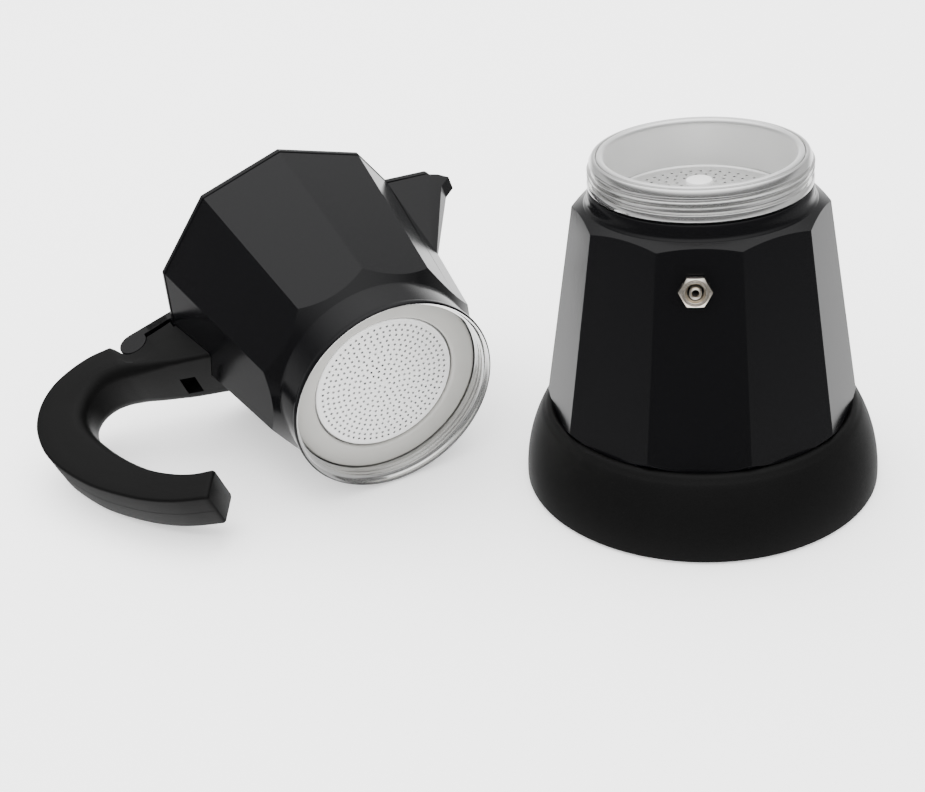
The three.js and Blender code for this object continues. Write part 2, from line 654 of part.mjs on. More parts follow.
function collectorBody() {
  const reach = RIM_CORNER + 6;
  const low = FLOOR_LOW - 4;
  const facets = collectorFrustum(low, RIM_Z, 0);
  const envelope = turned([
    [0, low], [COLLAR_RADIUS, low], [COLLAR_RADIUS, facetCone(COLLAR_RADIUS)], [reach, facetCone(reach)],
    [reach, RIM_Z + 1], [0, RIM_Z + 1],
  ]);
  const collar = turned([
    [0, 0], [MOUTH_RADIUS - 0.3, 0], [MOUTH_RADIUS, 0.4], [MOUTH_RADIUS, 1.6], [COLLAR_RADIUS, 2.2],
    [COLLAR_RADIUS, 11], [COLLAR_RADIUS + 0.7, 14],
    [WAIST_CORNER - 2.4, facetCone(WAIST_CORNER - 2.4) + 0.6],
    [0, facetCone(WAIST_CORNER - 2.4) + 0.6],
  ]);
  const lug = block([collectorCorner(LUG_LOW) - 2, -LUG_HALF, LUG_LOW], [LUG_REACH, LUG_HALF, LUG_HIGH]);
  const mouth = turned([
    [0, -1], [MOUTH_THREAD_ROOT, -1], [MOUTH_THREAD_ROOT, 0.8], ...mouthThread(),
    [MOUTH_THREAD_CREST + 0.1, SEAT_Z], [MOUTH_THREAD_CREST + 0.1, flangeHigh + GAP],
    [FILTER_FLANGE - 3, flangeHigh + GAP], [FILTER_FLANGE - 3, FLOOR_LOW], [0, FLOOR_LOW],
  ]);
  const chamber = collectorFrustum(FLOOR_LOW + FLOOR_THICK, RIM_Z + 1, -COLLECTOR_WALL);
  const columnHole = ring(0, COLUMN_RADIUS - 0.8 + GAP, FLOOR_LOW - 1,
    FLOOR_LOW + FLOOR_THICK + 1, SMALL_ROUND);
  return facets.intersect(envelope).add(collar).add(spoutOutside()).add(lug)
    .subtract(mouth).subtract(chamber).subtract(spoutInside()).subtract(columnHole);
}

function column() {
  const seat = FLOOR_LOW + FLOOR_THICK + GAP;
  const spigot = COLUMN_RADIUS - 0.8;
  return turned([
    [COLUMN_BORE, FLOOR_LOW], [spigot, FLOOR_LOW], [spigot, seat], [9, seat], [9, seat + 1.6],
    [COLUMN_RADIUS, seat + 3], [COLUMN_TIP_RADIUS, columnTop], [COLUMN_BORE, columnTop],
  ], SMALL_ROUND);
}

function columnCap() {
  const high = columnTop + 4;
  const low = high - CAP_HEIGHT;
  const bore = COLUMN_TIP_RADIUS + GAP + 0.2;
  const cap = turned([
    [0, high - 1.4], [bore, high - 1.4], [bore, low], [CAP_RADIUS, low], [CAP_RADIUS, high - 1.4],
    [CAP_RADIUS - 1.6, high], [0, high],
  ], SMALL_ROUND);
  return cap.subtract(block([-2, -CAP_RADIUS - 1, columnTop + 0.4], [2, CAP_RADIUS + 1, high - 1.6]));
}

function gasket() {
  return ring(GASKET_INNER, GASKET_OUTER, GASKET_FACE, GASKET_FACE + GASKET_THICK);
}

function filterPlate() {
  const flangeLow = GASKET_FACE + GASKET_THICK + GAP;
  const plate = turned([
    [0, FILTER_FACE], [FILTER_RADIUS - 0.4, FILTER_FACE], [FILTER_RADIUS, FILTER_FACE + 0.4],
    [FILTER_RADIUS, flangeLow], [FILTER_FLANGE, flangeLow], [FILTER_FLANGE, flangeHigh],
    [FILTER_RADIUS - FILTER_THICK, flangeHigh], [FILTER_RADIUS - FILTER_THICK, FILTER_FACE + FILTER_THICK],
    [0, FILTER_FACE + FILTER_THICK],
  ]);
  const rings = [[5, FILTER_RADIUS - 19.2], [8, FILTER_RADIUS - 11.7], [10, FILTER_RADIUS - 4.2]];
  return plate.subtract(sieveHoles(rings, FILTER_FACE - 1, FILTER_FACE + 3));
}

addPiece(collector, 'collector', collectorBody(), coated);
addPiece(collector, 'column', column(), aluminium);
addPiece(collector, 'column_cap', columnCap(), aluminium);
addPiece(collector, 'gasket', gasket(), silicone);
addPiece(collector, 'filter_plate', filterPlate(), aluminium);

// ---------- handle ----------

const seatRadius = KNUCKLE_RADIUS + FIT;
const pinHole = PIN_RADIUS + GAP;
const pinHalf = HANDLE_WIDTH / 2 - 1.4;

// A smooth run of points through places given as steps from the hinge axis.
function smoothRun(places, steps) {
  const curve = new THREE.SplineCurve(
    places.map(([x, z]) => new THREE.Vector2(HINGE_REACH + x, HINGE_Z + z)));
  return curve.getPoints(steps);
}

// The handle's side view, in the pot's plane of symmetry, from the root's top edge round.
function handleOutline() {
  const rootTop = HINGE_Z - ROOT_DROP;
  const rootStart = HINGE_REACH - 25.5;
  const seatFrom = Math.PI + Math.asin(ROOT_DROP / seatRadius);
  const seat = new THREE.EllipseCurve(HINGE_REACH, HINGE_Z, seatRadius, seatRadius,
    seatFrom, 2 * Math.PI - 0.2).getPoints(12);
  const back = smoothRun([
    [8.5, 5.5], [16.8, 7.7], [25, 7.6], [34, 4.8], [41.5, -1.7], [46.4, -11.4], [47.9, -23.2],
    [46.6, -34.3], [38.1, -57.4], [24, -78.8], [15.5, -87.6], [5.8, -94.8],
  ], 26);
  const inside = smoothRun([
    [-1.1, -84.4], [4, -81.8], [10.6, -75.7], [21.4, -57.8], [28.4, -35.5], [29.6, -27.2], [29.1, -19.8],
    [26.1, -13.6], [21, -10], [14, -9.6], [6.3, -12.4], [-1.5, -18.2], [-9.5, -24.3], [-19.5, -31.6],
  ], 28);
  return new THREE.Shape([
    new THREE.Vector2(rootStart, rootTop), ...seat, ...back, ...inside,
    new THREE.Vector2(rootStart, HINGE_Z - 35.2),
  ]);
}

function handle() {
  const half = HANDLE_WIDTH / 2;
  const slab = solid(new THREE.ExtrudeGeometry(handleOutline(),
    { depth: HANDLE_WIDTH, bevelEnabled: false })
    .rotateX(Math.PI / 2)
    .translate(0, half, 0));
  const tongue = crossbar(KNUCKLE_RADIUS - 0.3, HINGE_REACH, HINGE_Z, -TONGUE_HALF, TONGUE_HALF)
    .add(block([HINGE_REACH - 4, -TONGUE_HALF, HINGE_Z - seatRadius - 2],
      [HINGE_REACH + 4, TONGUE_HALF, HINGE_Z - 1]));
  const bodySide = collectorFrustum(WAIST_Z, RIM_Z, GAP / flatShare);
  const lidSide = frustum(RIM_CORNER + LID_OVERHANG + 0.5, RIM_CORNER + LID_OVERHANG + 0.5,
    RIM_Z - 0.5, RIM_Z + 12, FACETS);
  const pocket = block([HINGE_REACH - 27.5, -LUG_HALF - GAP, LUG_LOW - GAP],
    [LUG_REACH + GAP, LUG_HALF + GAP, LUG_HIGH + GAP]);
  const window = block([WINDOW_REACH - WINDOW / 2, -WINDOW / 2, LUG_LOW - 10],
    [WINDOW_REACH + WINDOW / 2, WINDOW / 2, LUG_LOW + 1]);
  const pinBore = crossbar(pinHole, HINGE_REACH, HINGE_Z, -half, half, 12);
  return slab.add(tongue).subtract(bodySide).subtract(lidSide)
    .subtract(pocket).subtract(window).subtract(pinBore);
}

addPiece(collector, 'handle', handle(), plastic);
addPiece(collector, 'hinge_pin',
  crossbar(PIN_RADIUS, HINGE_REACH, HINGE_Z, -pinHalf, pinHalf, 12), steel);

// ---------- lid ----------

const lidLow = RIM_Z + GAP;
const lidHigh = lidLow + LID_THICK;
const roofTop = lidHigh + ROOF_RISE;

function lid() {
  const half = HANDLE_WIDTH / 2 - 0.1;
  const corner = RIM_CORNER + LID_OVERHANG;
  const plate = frustum(corner, corner, lidLow, lidHigh, FACETS);
  const roof = frustum(corner - 3.5, ROOF_TOP_CORNER, lidHigh - 0.5, roofTop, FACETS);
  const beak = hull([
    ...mirrored(-40, SPOUT_ROOT_HALF + 1.6, lidLow), ...mirrored(-LID_BEAK_REACH, SPOUT_MID_HALF, lidLow),
    ...mirrored(-40, SPOUT_ROOT_HALF + 1.6, lidHigh), ...mirrored(-LID_BEAK_REACH, SPOUT_MID_HALF, lidHigh),
  ]);
  const rimInside = (RIM_CORNER - COLLECTOR_WALL) * flatShare;
  const locating = ring(rimInside - 5.2, rimInside - 3.4, lidLow - 2.2, lidLow + 1);
  const arm = block([HINGE_REACH - 45.5, -half, ARM_LOW], [HINGE_REACH, half, ARM_HIGH]);
  const web = block([HINGE_REACH - 43.5, -3, lidHigh - 1], [HINGE_REACH - 18.5, 3, ARM_LOW + 0.5]);
  const slot = block([HINGE_REACH - 7, -TONGUE_HALF - FIT, ARM_LOW - 9],
    [HINGE_REACH + 8, TONGUE_HALF + FIT, ARM_HIGH + 2]);
  const knuckles = crossbar(KNUCKLE_RADIUS, HINGE_REACH, HINGE_Z, -half, half);
  const pinBore = crossbar(pinHole, HINGE_REACH, HINGE_Z, -pinHalf - GAP, pinHalf + GAP, 12);
  const inside = frustum(corner - 11, ROOF_TOP_CORNER - 3, lidLow - 3, roofTop - ROOF_WALL, FACETS);
  const screwHole = ring(0, LID_SCREW_RADIUS + GAP, lidLow - 4, roofTop + 1, 12);
  return joined([plate, roof, beak, arm, web, knuckles]).subtract(slot).subtract(pinBore)
    .subtract(inside).add(locating).subtract(screwHole);
}

function lidKnob() {
  const low = roofTop + GAP;
  const high = low + LID_KNOB_HEIGHT;
  const widest = low + LID_KNOB_HEIGHT * 0.62;
  const bore = LID_SCREW_RADIUS + GAP;
  return turned([
    [bore, low], [7.4, low], [5.6, low + 3.5], [6.6, low + 6], [LID_KNOB_RADIUS - 1, widest - 2],
    [LID_KNOB_RADIUS, widest], [LID_KNOB_RADIUS - 1, high - 3], [LID_KNOB_RADIUS - 4.5, high - 0.6],
    [0, high], [0, low + 9], [bore, low + 9],
  ], SMALL_ROUND);
}

function knobScrew() {
  const seat = roofTop - ROOF_WALL - GAP;
  return turned([
    [0, seat - 2], [3.8, seat - 2], [4.2, seat], [LID_SCREW_RADIUS, seat],
    [LID_SCREW_RADIUS, roofTop + GAP + 8], [0, roofTop + GAP + 8],
  ], 12);
}

addPiece(collector, 'lid', lid(), coated);
addPiece(collector, 'lid_knob', lidKnob(), plastic);
addPiece(collector, 'knob_screw', knobScrew(), steel);

// ---------- layout ----------

// The collector rests on its mouth rim and on one corner of the lid, and the handle keeps
// it from rolling, so the axis tilts by the difference of the two radii over their distance.
function layDown(group) {
  const rise = (RIM_CORNER + LID_OVERHANG - MOUTH_RADIUS) / lidHigh;
  const tilt = Math.atan(rise);
  const heading = degrees(LYING_HEADING);
  const roll = degrees(LYING_ROLL);
  const axis = new THREE.Vector3(
    Math.cos(tilt) * Math.cos(heading), Math.cos(tilt) * Math.sin(heading), Math.sin(tilt));
  const down = new THREE.Vector3(0, 0, -1).projectOnPlane(axis).normalize();
  const side = new THREE.Vector3().crossVectors(axis, down);
  const handleWay = down.multiplyScalar(Math.cos(roll)).add(side.multiplyScalar(Math.sin(roll)));
  const across = new THREE.Vector3().crossVectors(axis, handleWay);
  const turn = new THREE.Matrix4().makeBasis(handleWay, across, axis);
  group.quaternion.setFromRotationMatrix(turn);
  group.position.set(LYING_PLACE[0], LYING_PLACE[1], 0);
  const lowest = new THREE.Box3().setFromObject(group, true).min.z;
  group.position.z -= lowest;
}

layDown(collector);

const pot = new THREE.Group();
pot.add(base, boiler, collector);
const footprint = new THREE.Box3().setFromObject(pot, true);
pot.position.set(-(footprint.min.x + footprint.max.x) / 2, -(footprint.min.y + footprint.max.y) / 2,
  -footprint.min.z);

export default pot;
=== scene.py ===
"""The finished look of an electric moka pot that stands taken apart beside its collector."""

import json
import math

import bmesh
import bpy
from mathutils import Matrix, Vector
from mathutils.geometry import delaunay_2d_cdt


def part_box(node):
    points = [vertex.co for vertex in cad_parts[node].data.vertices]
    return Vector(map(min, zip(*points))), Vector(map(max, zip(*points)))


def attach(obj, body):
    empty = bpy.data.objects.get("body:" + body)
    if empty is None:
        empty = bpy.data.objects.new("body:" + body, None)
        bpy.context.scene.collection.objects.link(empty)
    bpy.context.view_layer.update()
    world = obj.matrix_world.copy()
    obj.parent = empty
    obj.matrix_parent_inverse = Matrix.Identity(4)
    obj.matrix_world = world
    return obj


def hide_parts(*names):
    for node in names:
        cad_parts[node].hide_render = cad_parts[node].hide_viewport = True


bl_info = {
    "name": "Moka Pot Looks",
    "version": (1, 0, 0),
    "blender": (4, 5, 0),
    "location": "View3D > Sidebar > Moka Pot",
    "description": "Detailed pieces and finishes of a moka pot on its packed frame",
    "category": "Object",
}

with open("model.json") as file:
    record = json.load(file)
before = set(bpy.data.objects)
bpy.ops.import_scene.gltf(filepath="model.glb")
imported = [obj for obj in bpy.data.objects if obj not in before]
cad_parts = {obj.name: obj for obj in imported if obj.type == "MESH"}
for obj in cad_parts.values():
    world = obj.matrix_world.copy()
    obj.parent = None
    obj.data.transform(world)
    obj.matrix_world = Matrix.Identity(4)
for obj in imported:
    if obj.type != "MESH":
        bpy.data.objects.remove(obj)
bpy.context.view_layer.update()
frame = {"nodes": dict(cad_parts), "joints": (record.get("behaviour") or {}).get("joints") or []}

MM = 0.001
FACETS = 10
FACET_COLUMNS = 14
FACET_TURN = 2 * math.pi / FACETS
FLAT_SHARE = math.cos(FACET_TURN / 2)

# ---------- places taken from the frame ----------

JOINTS = {joint["name"]: joint for joint in frame["joints"]}


def boiler_frame():
    """Millimetres round the boiler's axis, height above the table."""
    low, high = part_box("funnel")
    return Matrix.Translation(((low.x + high.x) / 2, (low.y + high.y) / 2, 0)) @ Matrix.Scale(MM, 4)


def collector_frame():
    """Millimetres in the lying collector: Z from mouth to lid, handle on +X, spout on -X."""
    across = Vector(JOINTS["lid_hinge"]["axis"]).normalized()
    along = -Vector(JOINTS["filter_out"]["axis"])
    along = (along - along.dot(across) * across).normalized()
    handle_way = across.cross(along)
    hinge = Vector(JOINTS["lid_hinge"]["pos_m"])
    origin = hinge - MM * (HINGE_REACH * handle_way + HINGE_Z * along)
    turn = Matrix((handle_way, across, along)).transposed().to_4x4()
    return Matrix.Translation(origin) @ turn @ Matrix.Scale(MM, 4)


HINGE_REACH, HINGE_Z = 67.5, 96.2
BOILER_LOW_CORNER, BOILER_LOW_Z = 52.93, 30.5
BOILER_TOP_CORNER, BOILER_TOP_Z = 41.64, 99.4
BOILER_TAPER = (BOILER_LOW_CORNER - BOILER_TOP_CORNER) / (BOILER_TOP_Z - BOILER_LOW_Z)
WAIST_CORNER, WAIST_Z = 41.81, 20.4
RIM_CORNER, RIM_Z = 53.24, 90.7
COLLECTOR_TAPER = (RIM_CORNER - WAIST_CORNER) / (RIM_Z - WAIST_Z)
CASTING_WALL = 3
CHAMBER_FLOOR = 19
BOILER_FIRST_CORNER = math.radians(-72)
NECK_ROOT, NECK_CREST = 34.5, 36.05
MOUTH_ROOT, MOUTH_CREST = 36.8, 35.6
VALVE_SIDE, VALVE_Z = -1.1, 88
SCREW_CIRCLE, FOOT_CIRCLE = 50, 44
HANDLE_WIDTH, HANDLE_INNER_WIDTH = 17.4, 21.2
GRIP_STEPS = 78
ARM_OUTSIDE, ARM_INSIDE = 8.65, 4.0
BOILER = boiler_frame()
COLLECTOR = collector_frame()


def valve_frame():
    """Millimetres on the front facet, Z straight out of it."""
    lean = math.atan(BOILER_TAPER * FLAT_SHARE)
    flat = (BOILER_LOW_CORNER - BOILER_TAPER * (VALVE_Z - BOILER_LOW_Z)) * FLAT_SHARE
    spot = Matrix.Translation((VALVE_SIDE, -flat, VALVE_Z))
    return BOILER @ spot @ Matrix.Rotation(math.pi / 2 - lean, 4, "X")


VALVE = valve_frame()


# ---------- sizes and colours a user may change ----------


def colour(name, description, value):
    """An sRGB colour as hex."""
    return bpy.props.StringProperty(name=name, description=description, default=value)


def length(name, description, value):
    """A length in metres, from a value in millimetres."""
    return bpy.props.FloatProperty(
        name=name, description=description, default=value * MM, unit="LENGTH", subtype="DISTANCE"
    )


class MokaSizes(bpy.types.PropertyGroup):
    edge: length("Edge rounding", "Rounding of the cast and turned edges", 0.35)
    filter_hole: length("Filter hole", "Radius of the filter disc's holes", 0.48)
    filter_pitch: length("Filter pitch", "Distance between the filter disc's rings of holes", 1.98)
    reducer_hole: length("Reducer hole", "Radius of the reducer disc's holes", 0.5)
    reducer_pitch: length("Reducer pitch", "Distance between the reducer disc's rings of holes", 3.0)
    thread_pitch: length("Thread pitch", "Rise of the screw thread in one turn", 1.75)
    grip_rounding: length("Grip rounding", "Rounding of the grip's inner edge", 4.6)


class MokaColours(bpy.types.PropertyGroup):
    coating: colour("Coating", "Baked coating on the castings", "#070708")
    plastic: colour("Plastic", "Phenolic plastic of skirt and handle", "#070707")
    aluminium: colour("Aluminium", "Bare aluminium", "#efefee")
    nickel: colour("Nickel", "Nickel plating of the valve", "#efe8dc")
    silicone: colour("Silicone", "Gasket", "#9d9c98")
    floor: colour("Floor", "Acrylic sheet that the pot stands on", "#f7f7f7")


def sizes():
    """The sizes that the sidebar shows."""
    return bpy.context.scene.moka_sizes


def colours():
    """The colours that the sidebar shows."""
    return bpy.context.scene.moka_colours


def mm(value):
    """Millimetres of a size in metres."""
    return value / MM


def linear(hex_value):
    """Linear colour of an sRGB hex value."""
    channels = [int(hex_value[i : i + 2], 16) / 255 for i in (1, 3, 5)]
    return [c / 12.92 if c <= 0.04045 else ((c + 0.055) / 1.055) ** 2.4 for c in channels] + [1.0]


# ---------- meshes ----------


class Body:
    """Points and faces of one piece, in millimetres in its own frame."""

    def __init__(self):
        self.points = []
        self.faces = []
        self.slots = []
        self.flat = []

    def add(self, points, faces, slot=0, flat=False):
        """Adds faces with their own points. A slot is one material number, or one for each face."""
        start = len(self.points)
        self.points += points
        self.faces += [tuple(start + i for i in face) for face in faces]
        self.slots += slot if isinstance(slot, list) else [slot] * len(faces)
        self.flat += [flat] * len(faces)
        return self

    def join(self, other):
        """Takes in another Body."""
        start = len(self.points)
        self.points += other.points
        self.faces += [tuple(start + i for i in face) for face in other.faces]
        self.slots += other.slots
        self.flat += other.flat
        return self


def grid(rows, columns, start=0.0, close=True, slots=None):
    """Faces round Z between rows. A row is (radius, height), or gives that for an angle."""
    angles = [start + 2 * math.pi * i / columns for i in range(columns)]
    points, rings = [], []
    for row in rows:
        places = [row(angle) if callable(row) else row for angle in angles]
        if max(radius for radius, _ in places) < 1e-6:
            rings.append([len(points)] * columns)
            points.append((0, 0, places[0][1]))
            continue
        rings.append(list(range(len(points), len(points) + columns)))
        points += [(r * math.cos(a), r * math.sin(a), z) for a, (r, z) in zip(angles, places)]
    faces, marks = [], []
    pairs = list(zip(rings, rings[1:])) + ([(rings[-1], rings[0])] if close else [])
    for step, (low, high) in enumerate(pairs):
        for i in range(columns):
            j = (i + 1) % columns
            corners = (low[i], low[j], high[j], high[i])
            face = tuple(dict.fromkeys(corners))
            if len(face) > 2:
                faces.append(face)
                marks.append(slots[min(step, len(slots) - 1)] if slots else 0)
    return points, faces, marks


def turned(profile, columns=96, close=None):
    """A Body turned round Z. It closes on itself unless both ends lie on the axis."""
    on_axis = profile[0][0] < 1e-6 and profile[-1][0] < 1e-6
    points, faces, _ = grid(profile, columns, close=not on_axis if close is None else close)
    return Body().add(points, faces)


def arc(centre, radius, start, end, steps):
    """Points of an arc in the profile's plane, angles in degrees."""
    turns = [math.radians(start + (end - start) * i / steps) for i in range(steps + 1)]
    return [(centre[0] + radius * math.cos(t), centre[1] + radius * math.sin(t)) for t in turns]


def facet_share(angle, first_corner):
    """Radius over corner radius of a decagon at an angle."""
    off = (angle - first_corner) % FACET_TURN - FACET_TURN / 2
    return FLAT_SHARE / math.cos(off)


def flats(corner, height, first_corner):
    """A row on the decagon of that corner radius."""
    return lambda angle: (facet_share(angle, first_corner) * corner, height)


def cone_on_facets(corner, height, taper, slope, first_corner):
    """The row where a turned cone meets tapered facets: the scalloped end of a facet.

    Facet corners follow corner + taper * (z - height), the cone follows
    z = height + slope * (radius - corner).
    """

    def place(angle):
        share = facet_share(angle, first_corner)
        radius = share * corner * (1 - taper * slope) / (1 - share * taper * slope)
        return radius, height + slope * (radius - corner)

    return place


def loft(rings):
    """Points and faces through rings of equal length, closed at both ends."""
    count = len(rings[0])
    points = [point for ring in rings for point in ring]
    faces = []
    for k in range(len(rings) - 1):
        for i in range(count):
            j = (i + 1) % count
            faces.append((k * count + i, k * count + j, (k + 1) * count + j, (k + 1) * count + i))
    faces.append(tuple(reversed(range(count))))
    faces.append(tuple(range((len(rings) - 1) * count, len(rings) * count)))
    return points, faces


def screw_ridge(root, crest, low, pitch, turns, width):
    """One helical thread ridge that fades in and out."""
    steps = int(72 * turns)
    rings = []
    for k in range(steps + 1):
        part = k / steps
        fade = min(1, part * turns / 0.18, (1 - part) * turns / 0.18)
        angle = 2 * math.pi * turns * part
        z = low + pitch * turns * part
        tip = root + (crest - root) * fade
        foot = root - (crest - root) * 0.3
        section = [(foot, -width / 2), (root, -width / 2), (tip, -width * 0.13),
                   (tip, width * 0.13), (root, width / 2), (foot, width / 2)]
        rings.append([(r * math.cos(angle), r * math.sin(angle), z + dz) for r, dz in section])
    return loft(rings)


def smooth_run(places, steps):
    """Points of a Catmull-Rom curve through the places, in any number of coordinates."""
    ends = [places[0]] + list(places) + [places[-1]]
    out = []
    spans = len(places) - 1
    for k in range(steps + 1):
        t = spans * k / steps
        i = min(int(t), spans - 1)
        u = t - i
        p0, p1, p2, p3 = ends[i : i + 4]
        out.append(tuple(
            0.5 * (2 * b + (c - a) * u + (2 * a - 5 * b + 4 * c - d) * u * u
                   + (3 * b - a - 3 * c + d) * u ** 3)
            for a, b, c, d in zip(p0, p1, p2, p3)
        ))
    return out


def circle(radius, count):
    """Points evenly round a circle, from +X."""
    return [(radius * math.cos(t), radius * math.sin(t))
            for t in (2 * math.pi * i / count for i in range(count))]


def perforated(outer, holes, hole_radius, low, high):
    """A flat round plate with holes at the centres given."""
    sides, rim_sides = 10, 96
    flat = [Vector(point) for point in circle(outer, rim_sides)]
    edges = [(i, (i + 1) % rim_sides) for i in range(rim_sides)]
    for x, y in holes:
        start = len(flat)
        flat += [Vector((x + dx, y + dy)) for dx, dy in circle(hole_radius, sides)]
        edges += [(start + i, start + (i + 1) % sides) for i in range(sides)]
    verts, _, tris, _, _, _ = delaunay_2d_cdt(flat, edges, [], 0, 1e-6)
    cell = hole_radius * 2
    holes_near = {}
    for x, y in holes:
        for i in (-1, 0, 1):
            for j in (-1, 0, 1):
                key = (round(x / cell) + i, round(y / cell) + j)
                holes_near.setdefault(key, []).append(Vector((x, y)))
    kept = []
    for tri in tris:
        middle = (verts[tri[0]] + verts[tri[1]] + verts[tri[2]]) / 3
        near = holes_near.get((round(middle.x / cell), round(middle.y / cell)), [])
        if all((middle - centre).length > hole_radius * 0.9 for centre in near):
            kept.append(tuple(tri))
    count = len(verts)
    points = [(v.x, v.y, high) for v in verts] + [(v.x, v.y, low) for v in verts]
    faces = kept + [tuple(count + i for i in reversed(tri)) for tri in kept]
    sides_seen = dict.fromkeys(pair for tri in kept for pair in zip(tri, tri[1:] + tri[:1]))
    faces += [(b, a, a + count, b + count) for a, b in sides_seen if (b, a) not in sides_seen]
    return points, faces


def hole_rings(first, last, pitch, spacing):
    """Centres on rings, each ring turned against the one inside it."""
    centres = []
    ring = 0
    radius = first
    while radius <= last + 1e-6:
        count = max(1, round(2 * math.pi * radius / spacing))
        for i in range(count):
            t = 2 * math.pi * (i + 0.5 * (ring % 2)) / count + 0.37 * ring
            centres.append((radius * math.cos(t), radius * math.sin(t)))
        radius += pitch
        ring += 1
    return centres


def mesh_object(name, body, place, materials):
    """The object of a Body, placed in metres, with its faces turned outward."""
    data = bpy.data.meshes.new(name)
    data.from_pydata([place @ Vector(point) for point in body.points], [], body.faces)
    for material in materials:
        data.materials.append(material)
    for polygon, mark, flat in zip(data.polygons, body.slots, body.flat):
        polygon.material_index = mark
        polygon.use_smooth = not flat
    mesh = bmesh.new()
    mesh.from_mesh(data)
    bmesh.ops.remove_doubles(mesh, verts=mesh.verts, dist=1e-6)
    bmesh.ops.recalc_face_normals(mesh, faces=mesh.faces)
    mesh.to_mesh(data)
    mesh.free()
    made = bpy.data.objects.new(name, data)
    bpy.context.scene.collection.objects.link(made)
    return made


def place_piece(body, name, place, rides, nodes, materials, edge=None, angle=25):
    piece = mesh_object(name, body, place, materials)
    if edge:
        soften(piece, edge, angle)
    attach(piece, rides)
    if nodes:
        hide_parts(*nodes)
    return piece


def soften(piece, width, angle):
    """Rounds the sharp edges, width in millimetres, angle in degrees."""
    bevel = piece.modifiers.new("edge rounding", "BEVEL")
    bevel.width = width * MM
    bevel.segments = 2
    bevel.limit_method = "ANGLE"
    bevel.angle_limit = math.radians(angle)
    bevel.harden_normals = True
    bevel.miter_outer = "MITER_ARC"


def cut(piece, body, place, operation="DIFFERENCE"):
    """Cuts a Body from a piece, or joins it on, and leaves no helper behind."""
    helper = mesh_object("helper", body, place, piece.data.materials)
    step = piece.modifiers.new("cut", "BOOLEAN")
    step.operation = operation
    step.solver = "EXACT"
    step.object = helper
    bpy.context.view_layer.update()
    shown = piece.evaluated_get(bpy.context.evaluated_depsgraph_get())
    made = bpy.data.meshes.new_from_object(shown)
    old, spare = piece.data, helper.data
    piece.modifiers.remove(step)
    piece.data = made
    bpy.data.meshes.remove(old)
    bpy.data.objects.remove(helper)
    bpy.data.meshes.remove(spare)


def block(x0, x1, y0, y1, z0, z1):
    """A box between two corners."""
    points = [(x, y, z) for z in (z0, z1) for y in (y0, y1) for x in (x0, x1)]
    faces = [(0, 2, 3, 1), (4, 5, 7, 6), (0, 1, 5, 4), (2, 6, 7, 3), (0, 4, 6, 2), (1, 3, 7, 5)]
    return Body().add(points, faces)


def prism(outline, y0, y1):
    """A side view in (x, z) made solid between two y values."""
    return Body().add(*loft([[(x, y, z) for x, z in outline] for y in (y0, y1)]))


# ---------- materials ----------


def add_node(tree, kind, settings=None, inputs=None, links=None):
    """Adds a node, sets its properties and inputs, and links outputs of others to it."""
    node = tree.nodes.new(kind)
    for key, value in (settings or {}).items():
        setattr(node, key, value)
    for key, value in (inputs or {}).items():
        node.inputs[key].default_value = value
    for key, (source, output) in (links or {}).items():
        tree.links.new(source.outputs[output], node.inputs[key])
    return node


def new_material(name, inputs):
    """A material with one Principled shader, its constant values set on the sockets."""
    material = bpy.data.materials.new(name)
    material.use_nodes = True
    tree = material.node_tree
    shader = tree.nodes["Principled BSDF"]
    for key, value in inputs.items():
        shader.inputs[key].default_value = value
    return material, tree, shader


def per_metre(size_mm):
    """Noise scale for features of that size in millimetres."""
    return 1 / (size_mm * MM)


def baked_coating():
    """Glossy black baked coating on cast aluminium.

    Sprayed and stoved, so it mirrors softly, with a faint orange peel of about 2 mm and a
    roughness that drifts a little across each facet.
    """
    material, tree, shader = new_material("black baked coating on cast aluminium", {
        "Base Color": linear(colours().coating), "IOR": 1.3,
    })
    space = add_node(tree, "ShaderNodeTexCoord")
    drift = add_node(tree, "ShaderNodeTexNoise", {}, {"Scale": per_metre(30), "Detail": 3.0},
                     {"Vector": (space, "Object")})
    rough = add_node(tree, "ShaderNodeMapRange", {}, {"To Min": 0.13, "To Max": 0.2},
                     {"Value": (drift, "Fac")})
    peel = add_node(tree, "ShaderNodeTexNoise", {}, {"Scale": per_metre(2), "Detail": 1.0},
                    {"Vector": (space, "Object")})
    bump = add_node(tree, "ShaderNodeBump", {}, {"Strength": 0.02, "Distance": 0.0004},
                    {"Height": (peel, "Fac")})
    tree.links.new(rough.outputs["Result"], shader.inputs["Roughness"])
    tree.links.new(bump.outputs["Normal"], shader.inputs["Normal"])
    return material


